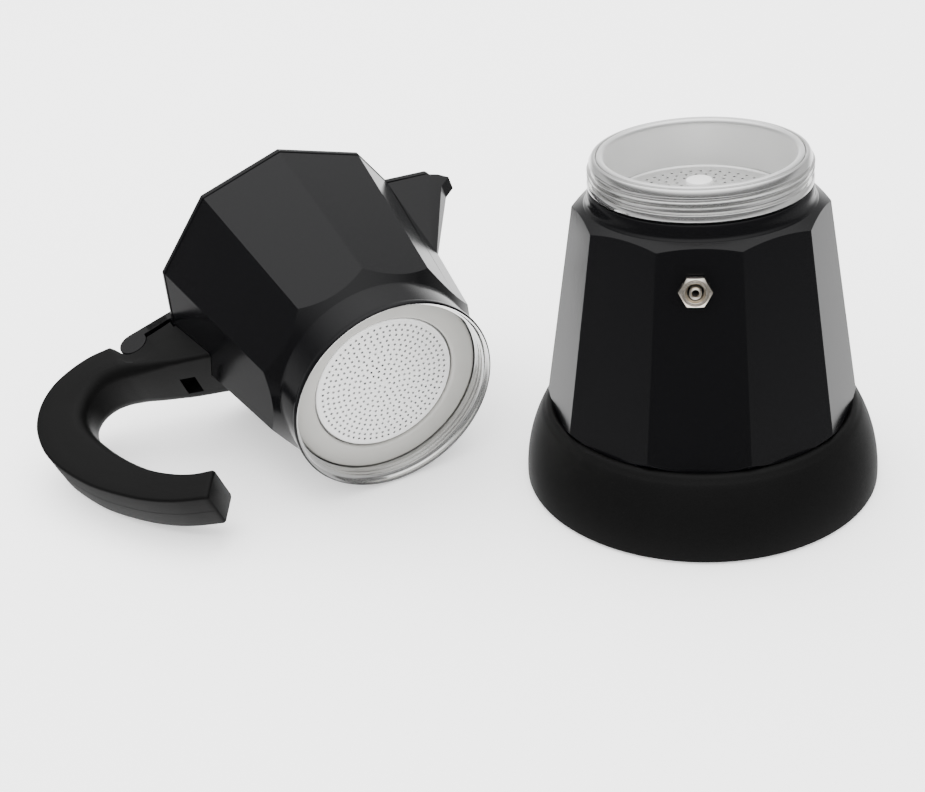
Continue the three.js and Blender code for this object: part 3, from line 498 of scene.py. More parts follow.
def phenolic():
    """Black phenolic plastic, compression moulded in a spark-eroded tool.

    A fine grain of about 0.35 mm breaks the highlights into a soft matte sheen. The grain is
    drawn a little coarser than the real 0.2 mm so that it shows.
    """
    material, tree, shader = new_material("black phenolic, spark-eroded grain", {
        "IOR": 1.5, "Specular IOR Level": 0.12})
    space = add_node(tree, "ShaderNodeTexCoord")
    grain = add_node(tree, "ShaderNodeTexNoise", {}, {"Scale": per_metre(0.35), "Detail": 2.0},
                     {"Vector": (space, "Object")})
    cloud = add_node(tree, "ShaderNodeTexNoise", {}, {"Scale": per_metre(25), "Detail": 4.0},
                     {"Vector": (space, "Object")})
    tint = add_node(tree, "ShaderNodeMix", {"data_type": "RGBA"}, {}, {"Factor": (cloud, "Fac")})
    tint.inputs["A"].default_value = [c * 0.8 for c in linear(colours().plastic)[:3]] + [1]
    tint.inputs["B"].default_value = [c * 1.2 for c in linear(colours().plastic)[:3]] + [1]
    rough = add_node(tree, "ShaderNodeMapRange", {}, {"To Min": 0.42, "To Max": 0.58},
                     {"Value": (grain, "Fac")})
    bump = add_node(tree, "ShaderNodeBump", {}, {"Strength": 0.22, "Distance": 0.0003},
                    {"Height": (grain, "Fac")})
    tree.links.new(tint.outputs["Result"], shader.inputs["Base Color"])
    tree.links.new(rough.outputs["Result"], shader.inputs["Roughness"])
    tree.links.new(bump.outputs["Normal"], shader.inputs["Normal"])
    return material


def aluminium(name, low_rough, high_rough, lathe_mm, strength, place=None, metallic=0.8):
    """Bare aluminium with the rings that a turning or spinning tool leaves.

    The rings are about lathe_mm apart round the piece's own axis and streak the highlights; a
    fine noise keeps the surface from looking like chrome.
    """
    material, tree, shader = new_material(name, {
        "Base Color": linear(colours().aluminium), "Metallic": metallic})
    space = add_node(tree, "ShaderNodeTexCoord")
    centre = (place or BOILER).to_translation()
    axis = (place or BOILER).to_3x3().normalized()
    shift = add_node(tree, "ShaderNodeVectorMath", {"operation": "SUBTRACT"}, {1: centre},
                     {0: (space, "Object")})
    turn = add_node(tree, "ShaderNodeVectorRotate", {"rotation_type": "EULER_XYZ"},
                    {"Rotation": axis.inverted().to_euler()}, {"Vector": (shift, "Vector")})
    split = add_node(tree, "ShaderNodeSeparateXYZ", {}, {}, {"Vector": (turn, "Vector")})
    flat = add_node(tree, "ShaderNodeCombineXYZ", {}, {"Z": 0.0},
                    {"X": (split, "X"), "Y": (split, "Y")})
    radius = add_node(tree, "ShaderNodeVectorMath", {"operation": "LENGTH"}, {},
                      {0: (flat, "Vector")})
    across = add_node(tree, "ShaderNodeCombineXYZ", {}, {"Z": 0.0},
                      {"X": (radius, "Value"), "Y": (split, "Z")})
    rings = add_node(tree, "ShaderNodeTexNoise", {}, {"Scale": per_metre(lathe_mm), "Detail": 3.0},
                     {"Vector": (across, "Vector")})
    spots = add_node(tree, "ShaderNodeTexNoise", {}, {"Scale": per_metre(4), "Detail": 5.0},
                     {"Vector": (space, "Object")})
    mix = add_node(tree, "ShaderNodeMath", {"operation": "MULTIPLY_ADD"}, {1: 0.35},
                   {0: (spots, "Fac"), 2: (rings, "Fac")})
    rough = add_node(tree, "ShaderNodeMapRange", {},
                     {"From Min": 0.4, "From Max": 1.0, "To Min": low_rough, "To Max": high_rough},
                     {"Value": (mix, "Value")})
    bump = add_node(tree, "ShaderNodeBump", {}, {"Strength": strength, "Distance": 0.0002},
                    {"Height": (rings, "Fac")})
    tree.links.new(rough.outputs["Result"], shader.inputs["Roughness"])
    tree.links.new(bump.outputs["Normal"], shader.inputs["Normal"])
    return material


def plated(name, value, low_rough=0.12, high_rough=0.25, metallic=1.0):
    """Small turned or stamped metal: a bright plating with fine handling marks of about 1 mm."""
    material, tree, shader = new_material(name, {"Base Color": linear(value), "Metallic": metallic})
    space = add_node(tree, "ShaderNodeTexCoord")
    marks = add_node(tree, "ShaderNodeTexNoise", {}, {"Scale": per_metre(1), "Detail": 4.0},
                     {"Vector": (space, "Object")})
    rough = add_node(tree, "ShaderNodeMapRange", {}, {"To Min": low_rough, "To Max": high_rough},
                     {"Value": (marks, "Fac")})
    bump = add_node(tree, "ShaderNodeBump", {}, {"Strength": 0.06, "Distance": 0.0002},
                    {"Height": (marks, "Fac")})
    tree.links.new(rough.outputs["Result"], shader.inputs["Roughness"])
    tree.links.new(bump.outputs["Normal"], shader.inputs["Normal"])
    return material


def moulded(name, value, rough=0.55, grain_mm=0.6, strength=0.1, shine=0.5):
    """Moulded rubber, silicone or fired ceramic: one colour that drifts a little, fine pores."""
    material, tree, shader = new_material(name, {"Specular IOR Level": shine})
    space = add_node(tree, "ShaderNodeTexCoord")
    cloud = add_node(tree, "ShaderNodeTexNoise", {}, {"Scale": per_metre(12), "Detail": 4.0},
                     {"Vector": (space, "Object")})
    pores = add_node(tree, "ShaderNodeTexNoise", {}, {"Scale": per_metre(grain_mm), "Detail": 2.0},
                     {"Vector": (space, "Object")})
    tint = add_node(tree, "ShaderNodeMix", {"data_type": "RGBA"}, {}, {"Factor": (cloud, "Fac")})
    tint.inputs["A"].default_value = [c * 0.92 for c in linear(value)[:3]] + [1]
    tint.inputs["B"].default_value = [min(1, c * 1.06) for c in linear(value)[:3]] + [1]
    spread = add_node(tree, "ShaderNodeMapRange", {}, {"To Min": rough - 0.08, "To Max": rough + 0.08},
                      {"Value": (pores, "Fac")})
    bump = add_node(tree, "ShaderNodeBump", {}, {"Strength": strength, "Distance": 0.0002},
                    {"Height": (pores, "Fac")})
    tree.links.new(tint.outputs["Result"], shader.inputs["Base Color"])
    tree.links.new(spread.outputs["Result"], shader.inputs["Roughness"])
    tree.links.new(bump.outputs["Normal"], shader.inputs["Normal"])
    return material


FINISHES = {
    "coating": baked_coating,
    "phenolic": phenolic,
    "turned_neck": lambda: aluminium("turned bare aluminium, boiler neck", 0.06, 0.16, 0.3, 0.02,
                                     None, 0.97),
    "turned_mouth": lambda: aluminium("turned bare aluminium, collector mouth", 0.06, 0.18, 0.3, 0.03,
                                      COLLECTOR, 0.95),
    "spun": lambda: aluminium("spun satin aluminium", 0.28, 0.4, 0.5, 0.05, None, 0.88),
    "etched": lambda: aluminium("etched satin aluminium, filter disc", 0.4, 0.5, 0.8, 0.02,
                                COLLECTOR, 0.45),
    "cast": lambda: aluminium("bead-blasted cast aluminium", 0.45, 0.6, 1.2, 0.1, COLLECTOR),
    "cast_boiler": lambda: aluminium("bead-blasted cast aluminium, boiler", 0.45, 0.6, 1.2, 0.1,
                                     BOILER),
    "nickel": lambda: plated("nickel-plated brass", colours().nickel, 0.06, 0.14, 0.96),
    "steel": lambda: plated("stainless steel, turned", "#bdbcb9", 0.18, 0.32),
    "brass": lambda: plated("turned brass", "#c8a45a", 0.16, 0.32),
    "silicone": lambda: moulded("light grey silicone, moulded", colours().silicone, 0.5, 0.5, 0.04,
                                0.35),
    "rubber": lambda: moulded("black rubber, moulded", "#161616", 0.7, 0.5, 0.2),
    "ceramic": lambda: moulded("steatite ceramic, fired", "#e4dfd2", 0.6, 0.4, 0.1),
}
made_finishes = {}


def finish(name):
    """The material of that name, made once."""
    if name not in made_finishes:
        made_finishes[name] = FINISHES[name]()
    return made_finishes[name]


def keep_node(name, material):
    """Leaves a CAD node as it is and gives it a finish."""
    node = frame["nodes"][name]
    node.data.materials.clear()
    node.data.materials.append(finish(material))


# ---------- heated base ----------


def three_round(radius, first):
    """Three points evenly round the boiler's axis."""
    return [(radius * math.cos(t), radius * math.sin(t))
            for t in (first + i * 2 * math.pi / 3 for i in range(3))]


def skirt_side(steps):
    """The bulging side of the skirt, from the table to the crest."""
    heights = [0.9 + 24.9 * i / steps for i in range(steps + 1)]
    return [(9.6 + math.sqrt(52 ** 2 - (z - 0.6) ** 2), z) for z in heights]


class MokaBase(bpy.types.Operator):
    """Skirt, bottom cover, its screws and the rubber feet"""

    bl_idname = "moka.base"
    bl_label = "Heated base"

    def execute(self, context):
        plastic = [finish("phenolic")]
        side = skirt_side(18)
        crest = smooth_run([side[-1], (54.15, 26.9), (53.35, 27.85), (52.4, 28.4), (51.6, 28.35),
                            (51.0, 27.8), (50.9, 26.8)], 18)
        inside = [(radius - 2.4, z) for radius, z in reversed(skirt_side(8)) if z < 20]
        profile = [(61.2, 0.6), (61.45, 0.68)] + side + crest[1:] + [
            (50.9, 22.5), (43, 22.5), (43, 20.5), (55.2, 20.5)] + inside + [(59.2, 0.6)]
        skirt = turned(profile, 144)
        screws = three_round(SCREW_CIRCLE, math.pi / 2)
        for x, y in screws:
            points, faces, _ = grid([(4, 5.4), (4, 21), (1.8, 21), (1.8, 5.4)], 24)
            skirt.add([(px + x, py + y, pz) for px, py, pz in points], faces)
        place_piece(skirt, "skirt", BOILER, "boiler_and_base", ["base_skirt"],
                    plastic, 0.3, 30)
        cover = turned([(16.8, 2.9), (17.4, 2.8), (30, 2.8), (31, 3.3), (33, 3.3), (34, 2.8),
                        (40, 2.8), (41, 3.3), (43, 3.3), (44, 2.8), (57.0, 2.8), (57.6, 3.1),
                        (57.7, 3.6), (57.7, 5), (16.8, 5)], 120)
        place_piece(cover, "cover", BOILER, "boiler_and_base", ["bottom_cover"],
                    plastic, 0.25, 30)
        for i, (x, y) in enumerate(screws):
            self.screw(i + 1, x, y)
        for i, (x, y) in enumerate(three_round(FOOT_CIRCLE, -math.pi / 2)):
            foot = turned([(0, 0.25), (3.6, 0.25), (4.0, 0), (5.3, 0), (5.8, 0.3), (6, 0.8),
                           (6, 2.1), (5.7, 2.5), (0, 2.5)], 48)
            spot = BOILER @ Matrix.Translation((x, y, 0))
            place_piece(foot, f"foot_{i + 1}", spot, "boiler_and_base", [f"rubber_foot_{i + 1}"],
                        [finish("rubber")], 0.15, 30)
        return {"FINISHED"}

    def screw(self, number, x, y):
        """A screw with a cross cut in its head."""
        head = turned([(0, 1.1), (2.3, 1.1), (2.8, 1.35), (3, 1.8), (3, 2.5), (1.5, 2.5),
                       (1.5, 12.6), (0.9, 13), (0, 13)], 40)
        spot = BOILER @ Matrix.Translation((x, y, 0))
        piece = place_piece(head, f"screw_{number}", spot, "boiler_and_base",
                            [f"cover_screw_{number}"], [finish("steel")])
        for a, b in ((1.7, 0.35), (0.35, 1.7)):
            cut(piece, block(-a, a, -b, b, 0, 1.9), spot)
        soften(piece, 0.08, 40)


class MokaConnector(bpy.types.Operator):
    """Cordless connector with its contacts, and the heater parts above it"""

    bl_idname = "moka.connector"
    bl_label = "Connector and heater"

    def execute(self, context):
        socket = turned([(3.4, 3.3), (3.9, 2.8), (5.5, 2.8), (6, 3.3), (6, 13.2), (14, 13.2),
                         (14, 3.3), (14.5, 2.8), (16.1, 2.8), (16.5, 3.2), (16.5, 5.3), (19.5, 5.3),
                         (19.5, 6.8), (16.5, 6.8), (16.5, 15.2), (3.4, 15.2)], 96)
        place_piece(socket, "socket", BOILER, "boiler_and_base", ["connector_socket"],
                    [finish("phenolic")], 0.12, 30)
        for name, inner in (("live", 6.3), ("earth", 12.9)):
            ring = turned([(inner, 6.0), (inner + 0.2, 5.8), (inner + 0.6, 5.8), (inner + 0.8, 6.0),
                           (inner + 0.8, 12.9), (inner, 12.9)], 96)
            place_piece(ring, f"{name}_contact", BOILER, "boiler_and_base",
                        [f"{name}_contact_ring"], [finish("brass")], 0.08, 30)
        for name in ("terminal_tab_1", "terminal_tab_2", "terminal_tab_3"):
            keep_node(name, "brass")
        keep_node("thermostat", "ceramic")
        keep_node("heating_element", "steel")
        keep_node("heater_plate", "cast_boiler")
        return {"FINISHED"}


# ---------- boiler ----------


class MokaBoiler(bpy.types.Operator):
    """Faceted boiler casting with its turned neck"""

    bl_idname = "moka.boiler"
    bl_label = "Boiler"

    def execute(self, context):
        first = BOILER_FIRST_CORNER
        foot = cone_on_facets(BOILER_LOW_CORNER, BOILER_LOW_Z, -BOILER_TAPER, 1.31, first)
        head = cone_on_facets(BOILER_TOP_CORNER, BOILER_TOP_Z, -BOILER_TAPER, -0.54, first)
        shoulder = [(37.55, 101.61), (37.35, 101.95), (36.95, 102.3), (36.65, 102.9)]
        roll = [(36.45, 103.8), (36.35, 104.8), (36.2, 105.8), (35.8, 106.5)]
        coat = [(0, 22.8), (48.8, 22.8), (49.7, 23.1), (50, 23.9), (50, 26.66), foot,
                head] + shoulder + roll + [(34.95, 106.9), (34.8, 107.1)]
        ring = [(35.2, 107.1), (35.75, 107.25), (36.05, 107.7), (36.15, 108.4), (36.1, 109.1),
                (35.9, 109.65), (34.8, 109.8), (NECK_ROOT, 110.0), (NECK_ROOT, 114.8), (35.35, 115.1),
                (35.3, 115.5), (34.85, 116.3), (34.6, 116.85), (34.3, 117.12), (33.9, 117.2),
                (33.4, 117.2), (33.15, 117.0), (33.1, 116), (31.9, 116), (31.9, 103.5)]
        inner = [(34.2, 99.2), (36.6, 97.0), (45.6, 34.5), (47.2, 29), (46.8, 27.2), (45, 26),
                 (0, 26)]
        rows = coat + ring + inner
        marks = [0] * (len(coat) - 1) + [1] * len(ring) + [2] * len(inner)
        points, faces, slots = grid(rows, FACETS * FACET_COLUMNS, first, False, marks)
        body = Body().add(points, faces, slots)
        pitch = mm(sizes().thread_pitch)
        body.add(*screw_ridge(NECK_ROOT, NECK_CREST, 110.5, pitch, 2.45, 1.25), 1)
        place_piece(body, "boiler_casting", BOILER, "boiler_and_base", ["boiler"],
                    [finish("coating"), finish("turned_neck"), finish("cast_boiler")],
                    mm(sizes().edge), 24)
        return {"FINISHED"}


def hexagon_row(corner, height, inset=0.0):
    """A row on a hexagon with a corner at angle 0."""

    def place(angle):
        off = angle % (math.pi / 3) - math.pi / 6
        return (corner * math.cos(math.pi / 6) - inset) / math.cos(off), height

    return place


def chamfered(corner, height, boss, drop):
    """The row where a turned chamfer of that slope meets the hexagon's sides."""

    def place(angle):
        radius = hexagon_row(corner, 0)(angle)[0]
        return radius, height - (radius - boss) * drop

    return place


class MokaValve(bpy.types.Operator):
    """Safety valve: body, washer, nut, spring and plunger"""

    bl_idname = "moka.valve"
    bl_label = "Safety valve"

    def execute(self, context):
        low, high = 1.2, 3.9
        rows = [(3.7, low), hexagon_row(5.2, low, 0.12), hexagon_row(5.2, low + 0.15),
                chamfered(5.2, high, 4.1, 0.55), (4.15, high), (4.05, high - 0.35),
                (3.85, high - 0.35), (3.75, high), (3.3, high), (3.2, high - 0.08),
                (3.0, high - 0.55), (2.8, high - 0.95), (2.65, high - 1.05), (2.55, high - 1.5),
                (2.3, high - 2.4), (2.3, -9), (3.0, -9), (3.7, -8.4)]
        points, faces, _ = grid(rows, 96)
        place_piece(Body().add(points, faces), "valve_hexagon", VALVE, "boiler_and_base",
                    ["valve_body"], [finish("nickel")], 0.07, 24)
        washer = turned([(4.0, 0.35), (4.35, 0.3), (4.35, 0.9), (4.0, 0.85)], 48)
        place_piece(washer, "valve_seal", VALVE, "boiler_and_base", ["valve_washer"],
                    [finish("rubber")], 0.1, 30)
        nut_rows = [(4.05, -7.1), hexagon_row(5.8, -7.1, 0.5), hexagon_row(5.8, -6.7),
                    hexagon_row(5.8, -3.5), hexagon_row(5.8, -3.1, 0.5), (4.05, -3.1)]
        points, faces, _ = grid(nut_rows, 96)
        place_piece(Body().add(points, faces), "valve_back_nut", VALVE, "boiler_and_base",
                    ["valve_nut"], [finish("nickel")], 0.08, 30)
        self.spring()
        pin = turned([(0, -17), (3.1, -17), (3.4, -16.7), (3.4, -16.0), (1.9, -15.8), (1.9, 3.85),
                      (1.78, 4.2), (1.55, 4.3), (1.3, 4.2), (1.15, 3.95), (1.15, -6), (0, -6.3)], 64)
        place_piece(pin, "valve_pin", VALVE, "relief_plunger", ["valve_plunger"],
                    [finish("nickel")], 0.05, 35)
        return {"FINISHED"}

    def spring(self):
        """The coil that holds the plunger shut."""
        low, high, coil, wire, turns, steps = -13.85, -9.75, 2.8, 0.4, 4, 96
        rings = []
        for k in range(steps + 1):
            t = 2 * math.pi * turns * k / steps
            z = low + (high - low) * k / steps
            rings.append([((coil + out) * math.cos(t), (coil + out) * math.sin(t), z + up)
                          for out, up in circle(wire, 10)])
        place_piece(Body().add(*loft(rings)), "valve_coil", VALVE, "boiler_and_base",
                    ["valve_spring"], [finish("steel")])


# ---------- funnel and reducer ----------


class MokaFunnel(bpy.types.Operator):
    """Coffee funnel with its rounded rim and the sieve in its basket"""

    bl_idname = "moka.funnel"
    bl_label = "Funnel"

    def execute(self, context):
        rim = smooth_run([(32.78, 116.35), (32.8, 117.0), (32.5, 117.42), (31.9, 117.5),
                          (31.3, 117.38), (30.8, 117.0), (30.45, 116.2), (30.32, 115.0)], 21)
        profile = [(4.1, 31), (4.45, 30.85), (5, 31.2), (5, 85), (5.6, 86.4), (28.6, 91.6),
                   (30.4, 92.6), (31.2, 94.2), (31.2, 116.35)] + rim + [
                   (30.3, 108), (30.25, 94.7), (27.3, 94.7), (27.3, 93.2), (6.2, 88), (4.1, 86)]
        place_piece(turned(profile, 128), "funnel_shell", BOILER, "coffee_funnel", ["funnel"],
                    [finish("spun")], 0.12, 35)
        holes = hole_rings(3, 27, 3, 3)
        sieve = Body().add(*perforated(29.9, holes, 0.5, 95, 95.9), flat=True)
        place_piece(sieve, "basket_sieve", BOILER, "coffee_funnel", ["funnel_sieve"],
                    [finish("spun")])
        return {"FINISHED"}


class MokaReducer(bpy.types.Operator):
    """Reducer disc for a smaller brew, with its knob"""

    bl_idname = "moka.reducer"
    bl_label = "Reducer disc"

    def execute(self, context):
        hole = mm(sizes().reducer_hole)
        pitch = mm(sizes().reducer_pitch)
        centres = hole_rings(6.6, 27.2, pitch, 3.3)
        cup = Body().add(*perforated(28.9, centres, hole, 101.16, 101.3), flat=True)
        side = turned([(28.88, 101.3), (29.2, 101.45), (29.55, 101.75), (29.85, 101.7),
                       (29.98, 101.4), (30, 96.2), (29.4, 96.2), (29.3, 100.9), (28.88, 101.16)], 128)
        place_piece(cup.join(side), "reducer_plate", BOILER, "reducer", ["reducer_disc"],
                    [finish("spun")])
        knob = turned([(0, 101.6), (5.0, 101.6), (5.05, 102.2), (4.8, 102.7), (3.4, 103.1),
                       (2.75, 103.8), (2.7, 105.1), (3.3, 105.7), (4.15, 106.0), (4.4, 106.5),
                       (4.4, 107.2), (4.15, 107.62), (3.7, 107.8), (0, 107.86)], 64)
        place_piece(knob, "reducer_button", BOILER, "reducer", ["reducer_knob"],
                    [finish("etched")], 0.12, 35)
        return {"FINISHED"}


# ---------- collector ----------


def hull_body(points, slot=0):
    """The convex body round the points."""
    mesh = bmesh.new()
    for point in points:
        mesh.verts.new(point)
    made = bmesh.ops.convex_hull(mesh, input=mesh.verts)
    inner = list(set(made["geom_interior"] + made["geom_unused"]))
    bmesh.ops.delete(mesh, geom=inner, context="VERTS")
    bmesh.ops.dissolve_limit(mesh, angle_limit=0.01, verts=mesh.verts, edges=mesh.edges)
    mesh.verts.index_update()
    points = [tuple(vert.co) for vert in mesh.verts]
    faces = [tuple(vert.index for vert in face.verts) for face in mesh.faces]
    mesh.free()
    return Body().add(points, faces, slot)


def both(x, y, z):
    """The same point on both sides of the plane of symmetry."""
    return [(x, y, z), (x, -y, z)]


def decagon(low_corner, high_corner, low, high):
    """The collector's faceted shape between two heights."""
    rows = [(0, low), flats(low_corner, low, 0.0), flats(high_corner, high, 0.0), (0, high)]
    points, faces, _ = grid(rows, FACETS, 0.0, False)
    return Body().add(points, faces)


def collector_corner(z):
    """Corner radius of the collector's facets at a height."""
    return WAIST_CORNER + COLLECTOR_TAPER * (z - WAIST_Z)


class MokaCollector(bpy.types.Operator):
    """Faceted collector casting with its threaded mouth and spout"""

    bl_idname = "moka.collector"
    bl_label = "Collector"

    def execute(self, context):
        waist = cone_on_facets(WAIST_CORNER, WAIST_Z, COLLECTOR_TAPER, 1.32, 0.0)
        coat = [(37.2, 0.0), (37.62, 0.1), (37.85, 0.4), (37.9, 0.9), (37.9, 1.6), (37.7, 2.05),
                (37.4, 2.3), (37.4, 14.57), waist, flats(RIM_CORNER, RIM_Z, 0.0)]
        floor_corner = collector_corner(CHAMBER_FLOOR) - CASTING_WALL
        inside = [flats(RIM_CORNER - CASTING_WALL, RIM_Z, 0.0),
                  flats(floor_corner, CHAMBER_FLOOR, 0.0), (7, CHAMBER_FLOOR), (5.9, 18.6),
                  (5.9, 16), (30, 16), (30, 12.6)]
        mouth = [(35.75, 12.6), (35.7, 8.1), (36.4, 7.85), (MOUTH_ROOT, 7.5), (MOUTH_ROOT, 1.0),
                 (36.7, 0.3)]
        marks = [0] * len(coat) + [2] * len(inside) + [1] * len(mouth)
        points, faces, slots = grid(coat + inside + mouth, FACETS * FACET_COLUMNS, 0.0, True, marks)
        body = Body().add(points, faces, slots)
        casting = place_piece(body, "collector_casting", COLLECTOR, "collector_and_handle",
                              ["collector"],
                              [finish("coating"), finish("turned_mouth"), finish("cast")])
        for outer in self.spout_outside():
            cut(casting, outer, COLLECTOR, "UNION")
        for inner in self.spout_inside():
            cut(casting, inner, COLLECTOR)
        soften(casting, mm(sizes().edge), 24)
        pitch = mm(sizes().thread_pitch)
        thread = Body().add(*screw_ridge(MOUTH_ROOT, MOUTH_CREST, 1.7, pitch, 3.2, 1.2))
        place_piece(thread, "mouth_thread", COLLECTOR, "collector_and_handle",
                    [], [finish("turned_mouth")], 0.06, 24)
        return {"FINISHED"}

    def spout_outside(self):
        """The solid of the spout and its beak."""
        trough = hull_body(both(-41, 16.4, 90.7) + both(-65.1, 7, 90.7) + both(-67, 3, 84.2)
                           + [(-41, 0, 44.3)])
        beak = hull_body(both(-65.1, 7, 90.7) + both(-68.9, 4.9, 89.7) + both(-71.9, 3, 87)
                         + both(-67, 3, 84.2) + [(-56, 0, 90.7), (-56, 0, 80)])
        return [trough, beak]

    def spout_inside(self):
        """What is cut out of them for the coffee to run through."""
        trough = hull_body(both(-34, 14, 92) + both(-64, 4.9, 92) + both(-65, 0.9, 86.4)
                           + [(-42, 0, 57)] + both(-34, 3, 57), 2)
        channel = hull_body(both(-62, 3.4, 92) + both(-73, 1.7, 92) + both(-73, 0.5, 87.9)
                            + both(-62, 0.7, 86.6), 2)
        return [trough, channel]


class MokaColumn(bpy.types.Operator):
    """Column that the coffee rises through, with its cap"""

    bl_idname = "moka.column"
    bl_label = "Column"

    def execute(self, context):
        column = turned([(3.6, 16), (5.6, 16), (5.6, 19.3), (8.7, 19.3), (9, 19.6), (9, 20.6),
                         (8.2, 21.2), (6.9, 21.9), (6.4, 23.4), (5.2, 72.4), (4.9, 73), (3.9, 73),
                         (3.6, 72.7)], 64)
        place_piece(column, "coffee_column", COLLECTOR, "collector_and_handle", ["column"],
                    [finish("cast")], 0.15, 30)
        cap = turned([(0, 75.6), (5.7, 75.6), (5.7, 69.1), (6.3, 69), (7.2, 69.2), (7.2, 75.4),
                      (6.6, 76.4), (5.4, 76.9), (3.5, 77), (0, 77)], 64)
        piece = place_piece(cap, "column_hood", COLLECTOR, "collector_and_handle", ["column_cap"],
                            [finish("cast")])
        cut(piece, block(-2, 2, -9, 9, 73.4, 75.4), COLLECTOR)
        soften(piece, 0.15, 30)
        return {"FINISHED"}


class MokaGasket(bpy.types.Operator):
    """Gasket in the collector's mouth"""

    bl_idname = "moka.gasket"
    bl_label = "Gasket"

    def execute(self, context):
        profile = [(26.8, 10.9), (26.8, 8.75), (27.0, 8.38), (27.4, 8.22), (28.2, 8.2), (34.3, 8.2),
                   (34.9, 8.32), (35.2, 8.6), (35.3, 9.0), (35.3, 10.9), (35.0, 11.2), (27.1, 11.2)]
        place_piece(turned(profile, 128), "mouth_gasket", COLLECTOR, "gasket_ring", ["gasket"],
                    [finish("silicone")])
        return {"FINISHED"}


class MokaFilter(bpy.types.Operator):
    """Filter disc with its rings of fine holes"""

    bl_idname = "moka.filter"
    bl_label = "Filter disc"

    def execute(self, context):
        hole = mm(sizes().filter_hole)
        pitch = mm(sizes().filter_pitch)
        centres = hole_rings(23.7 - 11 * pitch, 23.7, pitch, 2.4)
        disc = Body().add(*perforated(25.7, centres, hole, 9.2, 9.34), flat=True)
        edge = turned([(25.68, 9.2), (25.95, 9.26), (26.15, 9.45), (26.2, 9.8), (26.2, 11.5),
                       (33, 11.5), (33, 12.3), (25.4, 12.3), (25.4, 9.6), (25.68, 9.34)], 128)
        place_piece(disc.join(edge), "filter_disc", COLLECTOR, "filter_disc", ["filter_plate"],
                    [finish("etched")])
        return {"FINISHED"}


# ---------- handle and lid ----------


def handle_stations():
    """Side view of the handle as pairs of outer and inner points with widths and roundings.

    Each station is outer x, outer z, inner x, inner z, outer width, inner width, outer rounding,
    inner rounding.
    """
    grip = mm(sizes().grip_rounding)
    width, inner_width = HANDLE_WIDTH, HANDLE_INNER_WIDTH
    root = [
        (43.0, 94.2, 40.5, 58.9, width + 2.2, inner_width, 0.5, 1.7),
        (47.0, 94.3, 45.0, 61.7, width + 1.6, inner_width, 0.5, 1.7),
        (51.0, 94.4, 49.5, 64.6, width + 1.1, inner_width, 0.5, 1.7),
        (55.0, 94.5, 53.5, 67.1, width + 0.6, inner_width, 0.5, 1.8),
        (58.5, 94.6, 57.0, 69.3, width + 0.3, inner_width, 0.5, 2.0),
        (61.4, 94.8, 59.6, 71.0, width + 0.1, inner_width, 0.5, 2.2),
    ]
    knuckle = arc((HINGE_REACH, HINGE_Z), 5.9, 195, 348, 10)
    under = smooth_run([(60.2, 71.4), (64.0, 73.9), (68.5, 76.9), (73.2, 80.2)], 10)
    seat = [(ox, oz, ix, iz, width, inner_width, 0.3, 2.2 + (grip - 2.2) * k / 10)
            for k, ((ox, oz), (ix, iz)) in enumerate(zip(knuckle, under))]
    notch = [(74.6, 98.6, 74.6, 81.3, width, inner_width, 0.35, grip),
             (76.0, 101.7, 76.2, 82.4, width, inner_width, 0.5, grip)]
    back = [(76.0, 101.7), (84.3, 103.9), (92.5, 103.8), (101.5, 101.0), (109.0, 94.5),
            (113.9, 84.8), (115.4, 73.0), (114.1, 61.9), (110.4, 50.0), (105.6, 38.8), (98.9, 27.6),
            (91.5, 17.4), (83.0, 8.6), (73.3, 1.4)]
    inside = [(76.2, 82.4), (81.8, 85.2), (86.8, 85.8), (91.6, 84.0), (95.1, 80.0), (96.8, 75.4),
              (97.1, 69.0), (95.9, 60.7), (92.8, 49.0), (88.9, 38.4), (84.3, 29.0), (78.1, 20.5),
              (72.2, 15.1), (66.4, 11.8)]
    hook = []
    for k, place in enumerate(smooth_run([(*a, *b) for a, b in zip(back, inside)], GRIP_STEPS)):
        part = k / GRIP_STEPS
        narrow = width - 1.9 * part
        flare = (inner_width - width) * max(0, 1 - part / 0.3)
        outer = 0.5 + 0.7 * min(1, part * 8)
        inner = max(1.3, grip + (1.3 - grip) * max(0, (part - 0.45) / 0.4))
        hook.append((*place, narrow, narrow + flare, outer, inner))
    return root + seat + notch + hook[1:]


def handle_section(station):
    """The ring of points across the handle at a station."""
    ox, oz, ix, iz, wide, deep, outer, inner = station
    span = math.hypot(ix - ox, iz - oz)
    near, far = wide / 2, deep / 2
    side = [(0, 0), (near - outer, 0)]
    side += [(near - outer + outer * math.sin(t), outer - outer * math.cos(t))
             for t in map(math.radians, (22.5, 45, 67.5, 90))]
    side += [(near + (far - near) * share, span * share) for share in (0.3, 0.5)]
    side += [(far - inner + inner * math.cos(t), span - inner + inner * math.sin(t))
             for t in map(math.radians, range(0, 91, 15))]
    side += [(0, span)]
    ring = side + [(-y, depth) for y, depth in reversed(side[1:-1])]
    return [(ox + (ix - ox) * depth / span, y, oz + (iz - oz) * depth / span) for y, depth in ring]


def parting_line(stations):
    """A fine raised line along the middle of the grip's outer side, where the mould parts."""
    proud, sunk, half = 0.07, 0.1, 0.24
    rings = []
    for ox, oz, ix, iz, *_ in stations:
        span = math.hypot(ix - ox, iz - oz)
        dx, dz = (ix - ox) / span, (iz - oz) / span
        rings.append([(ox - proud * dx, 0, oz - proud * dz), (ox + sunk * dx, half, oz + sunk * dz),
                      (ox + sunk * dx, -half, oz + sunk * dz)])
    return Body().add(*loft(rings))


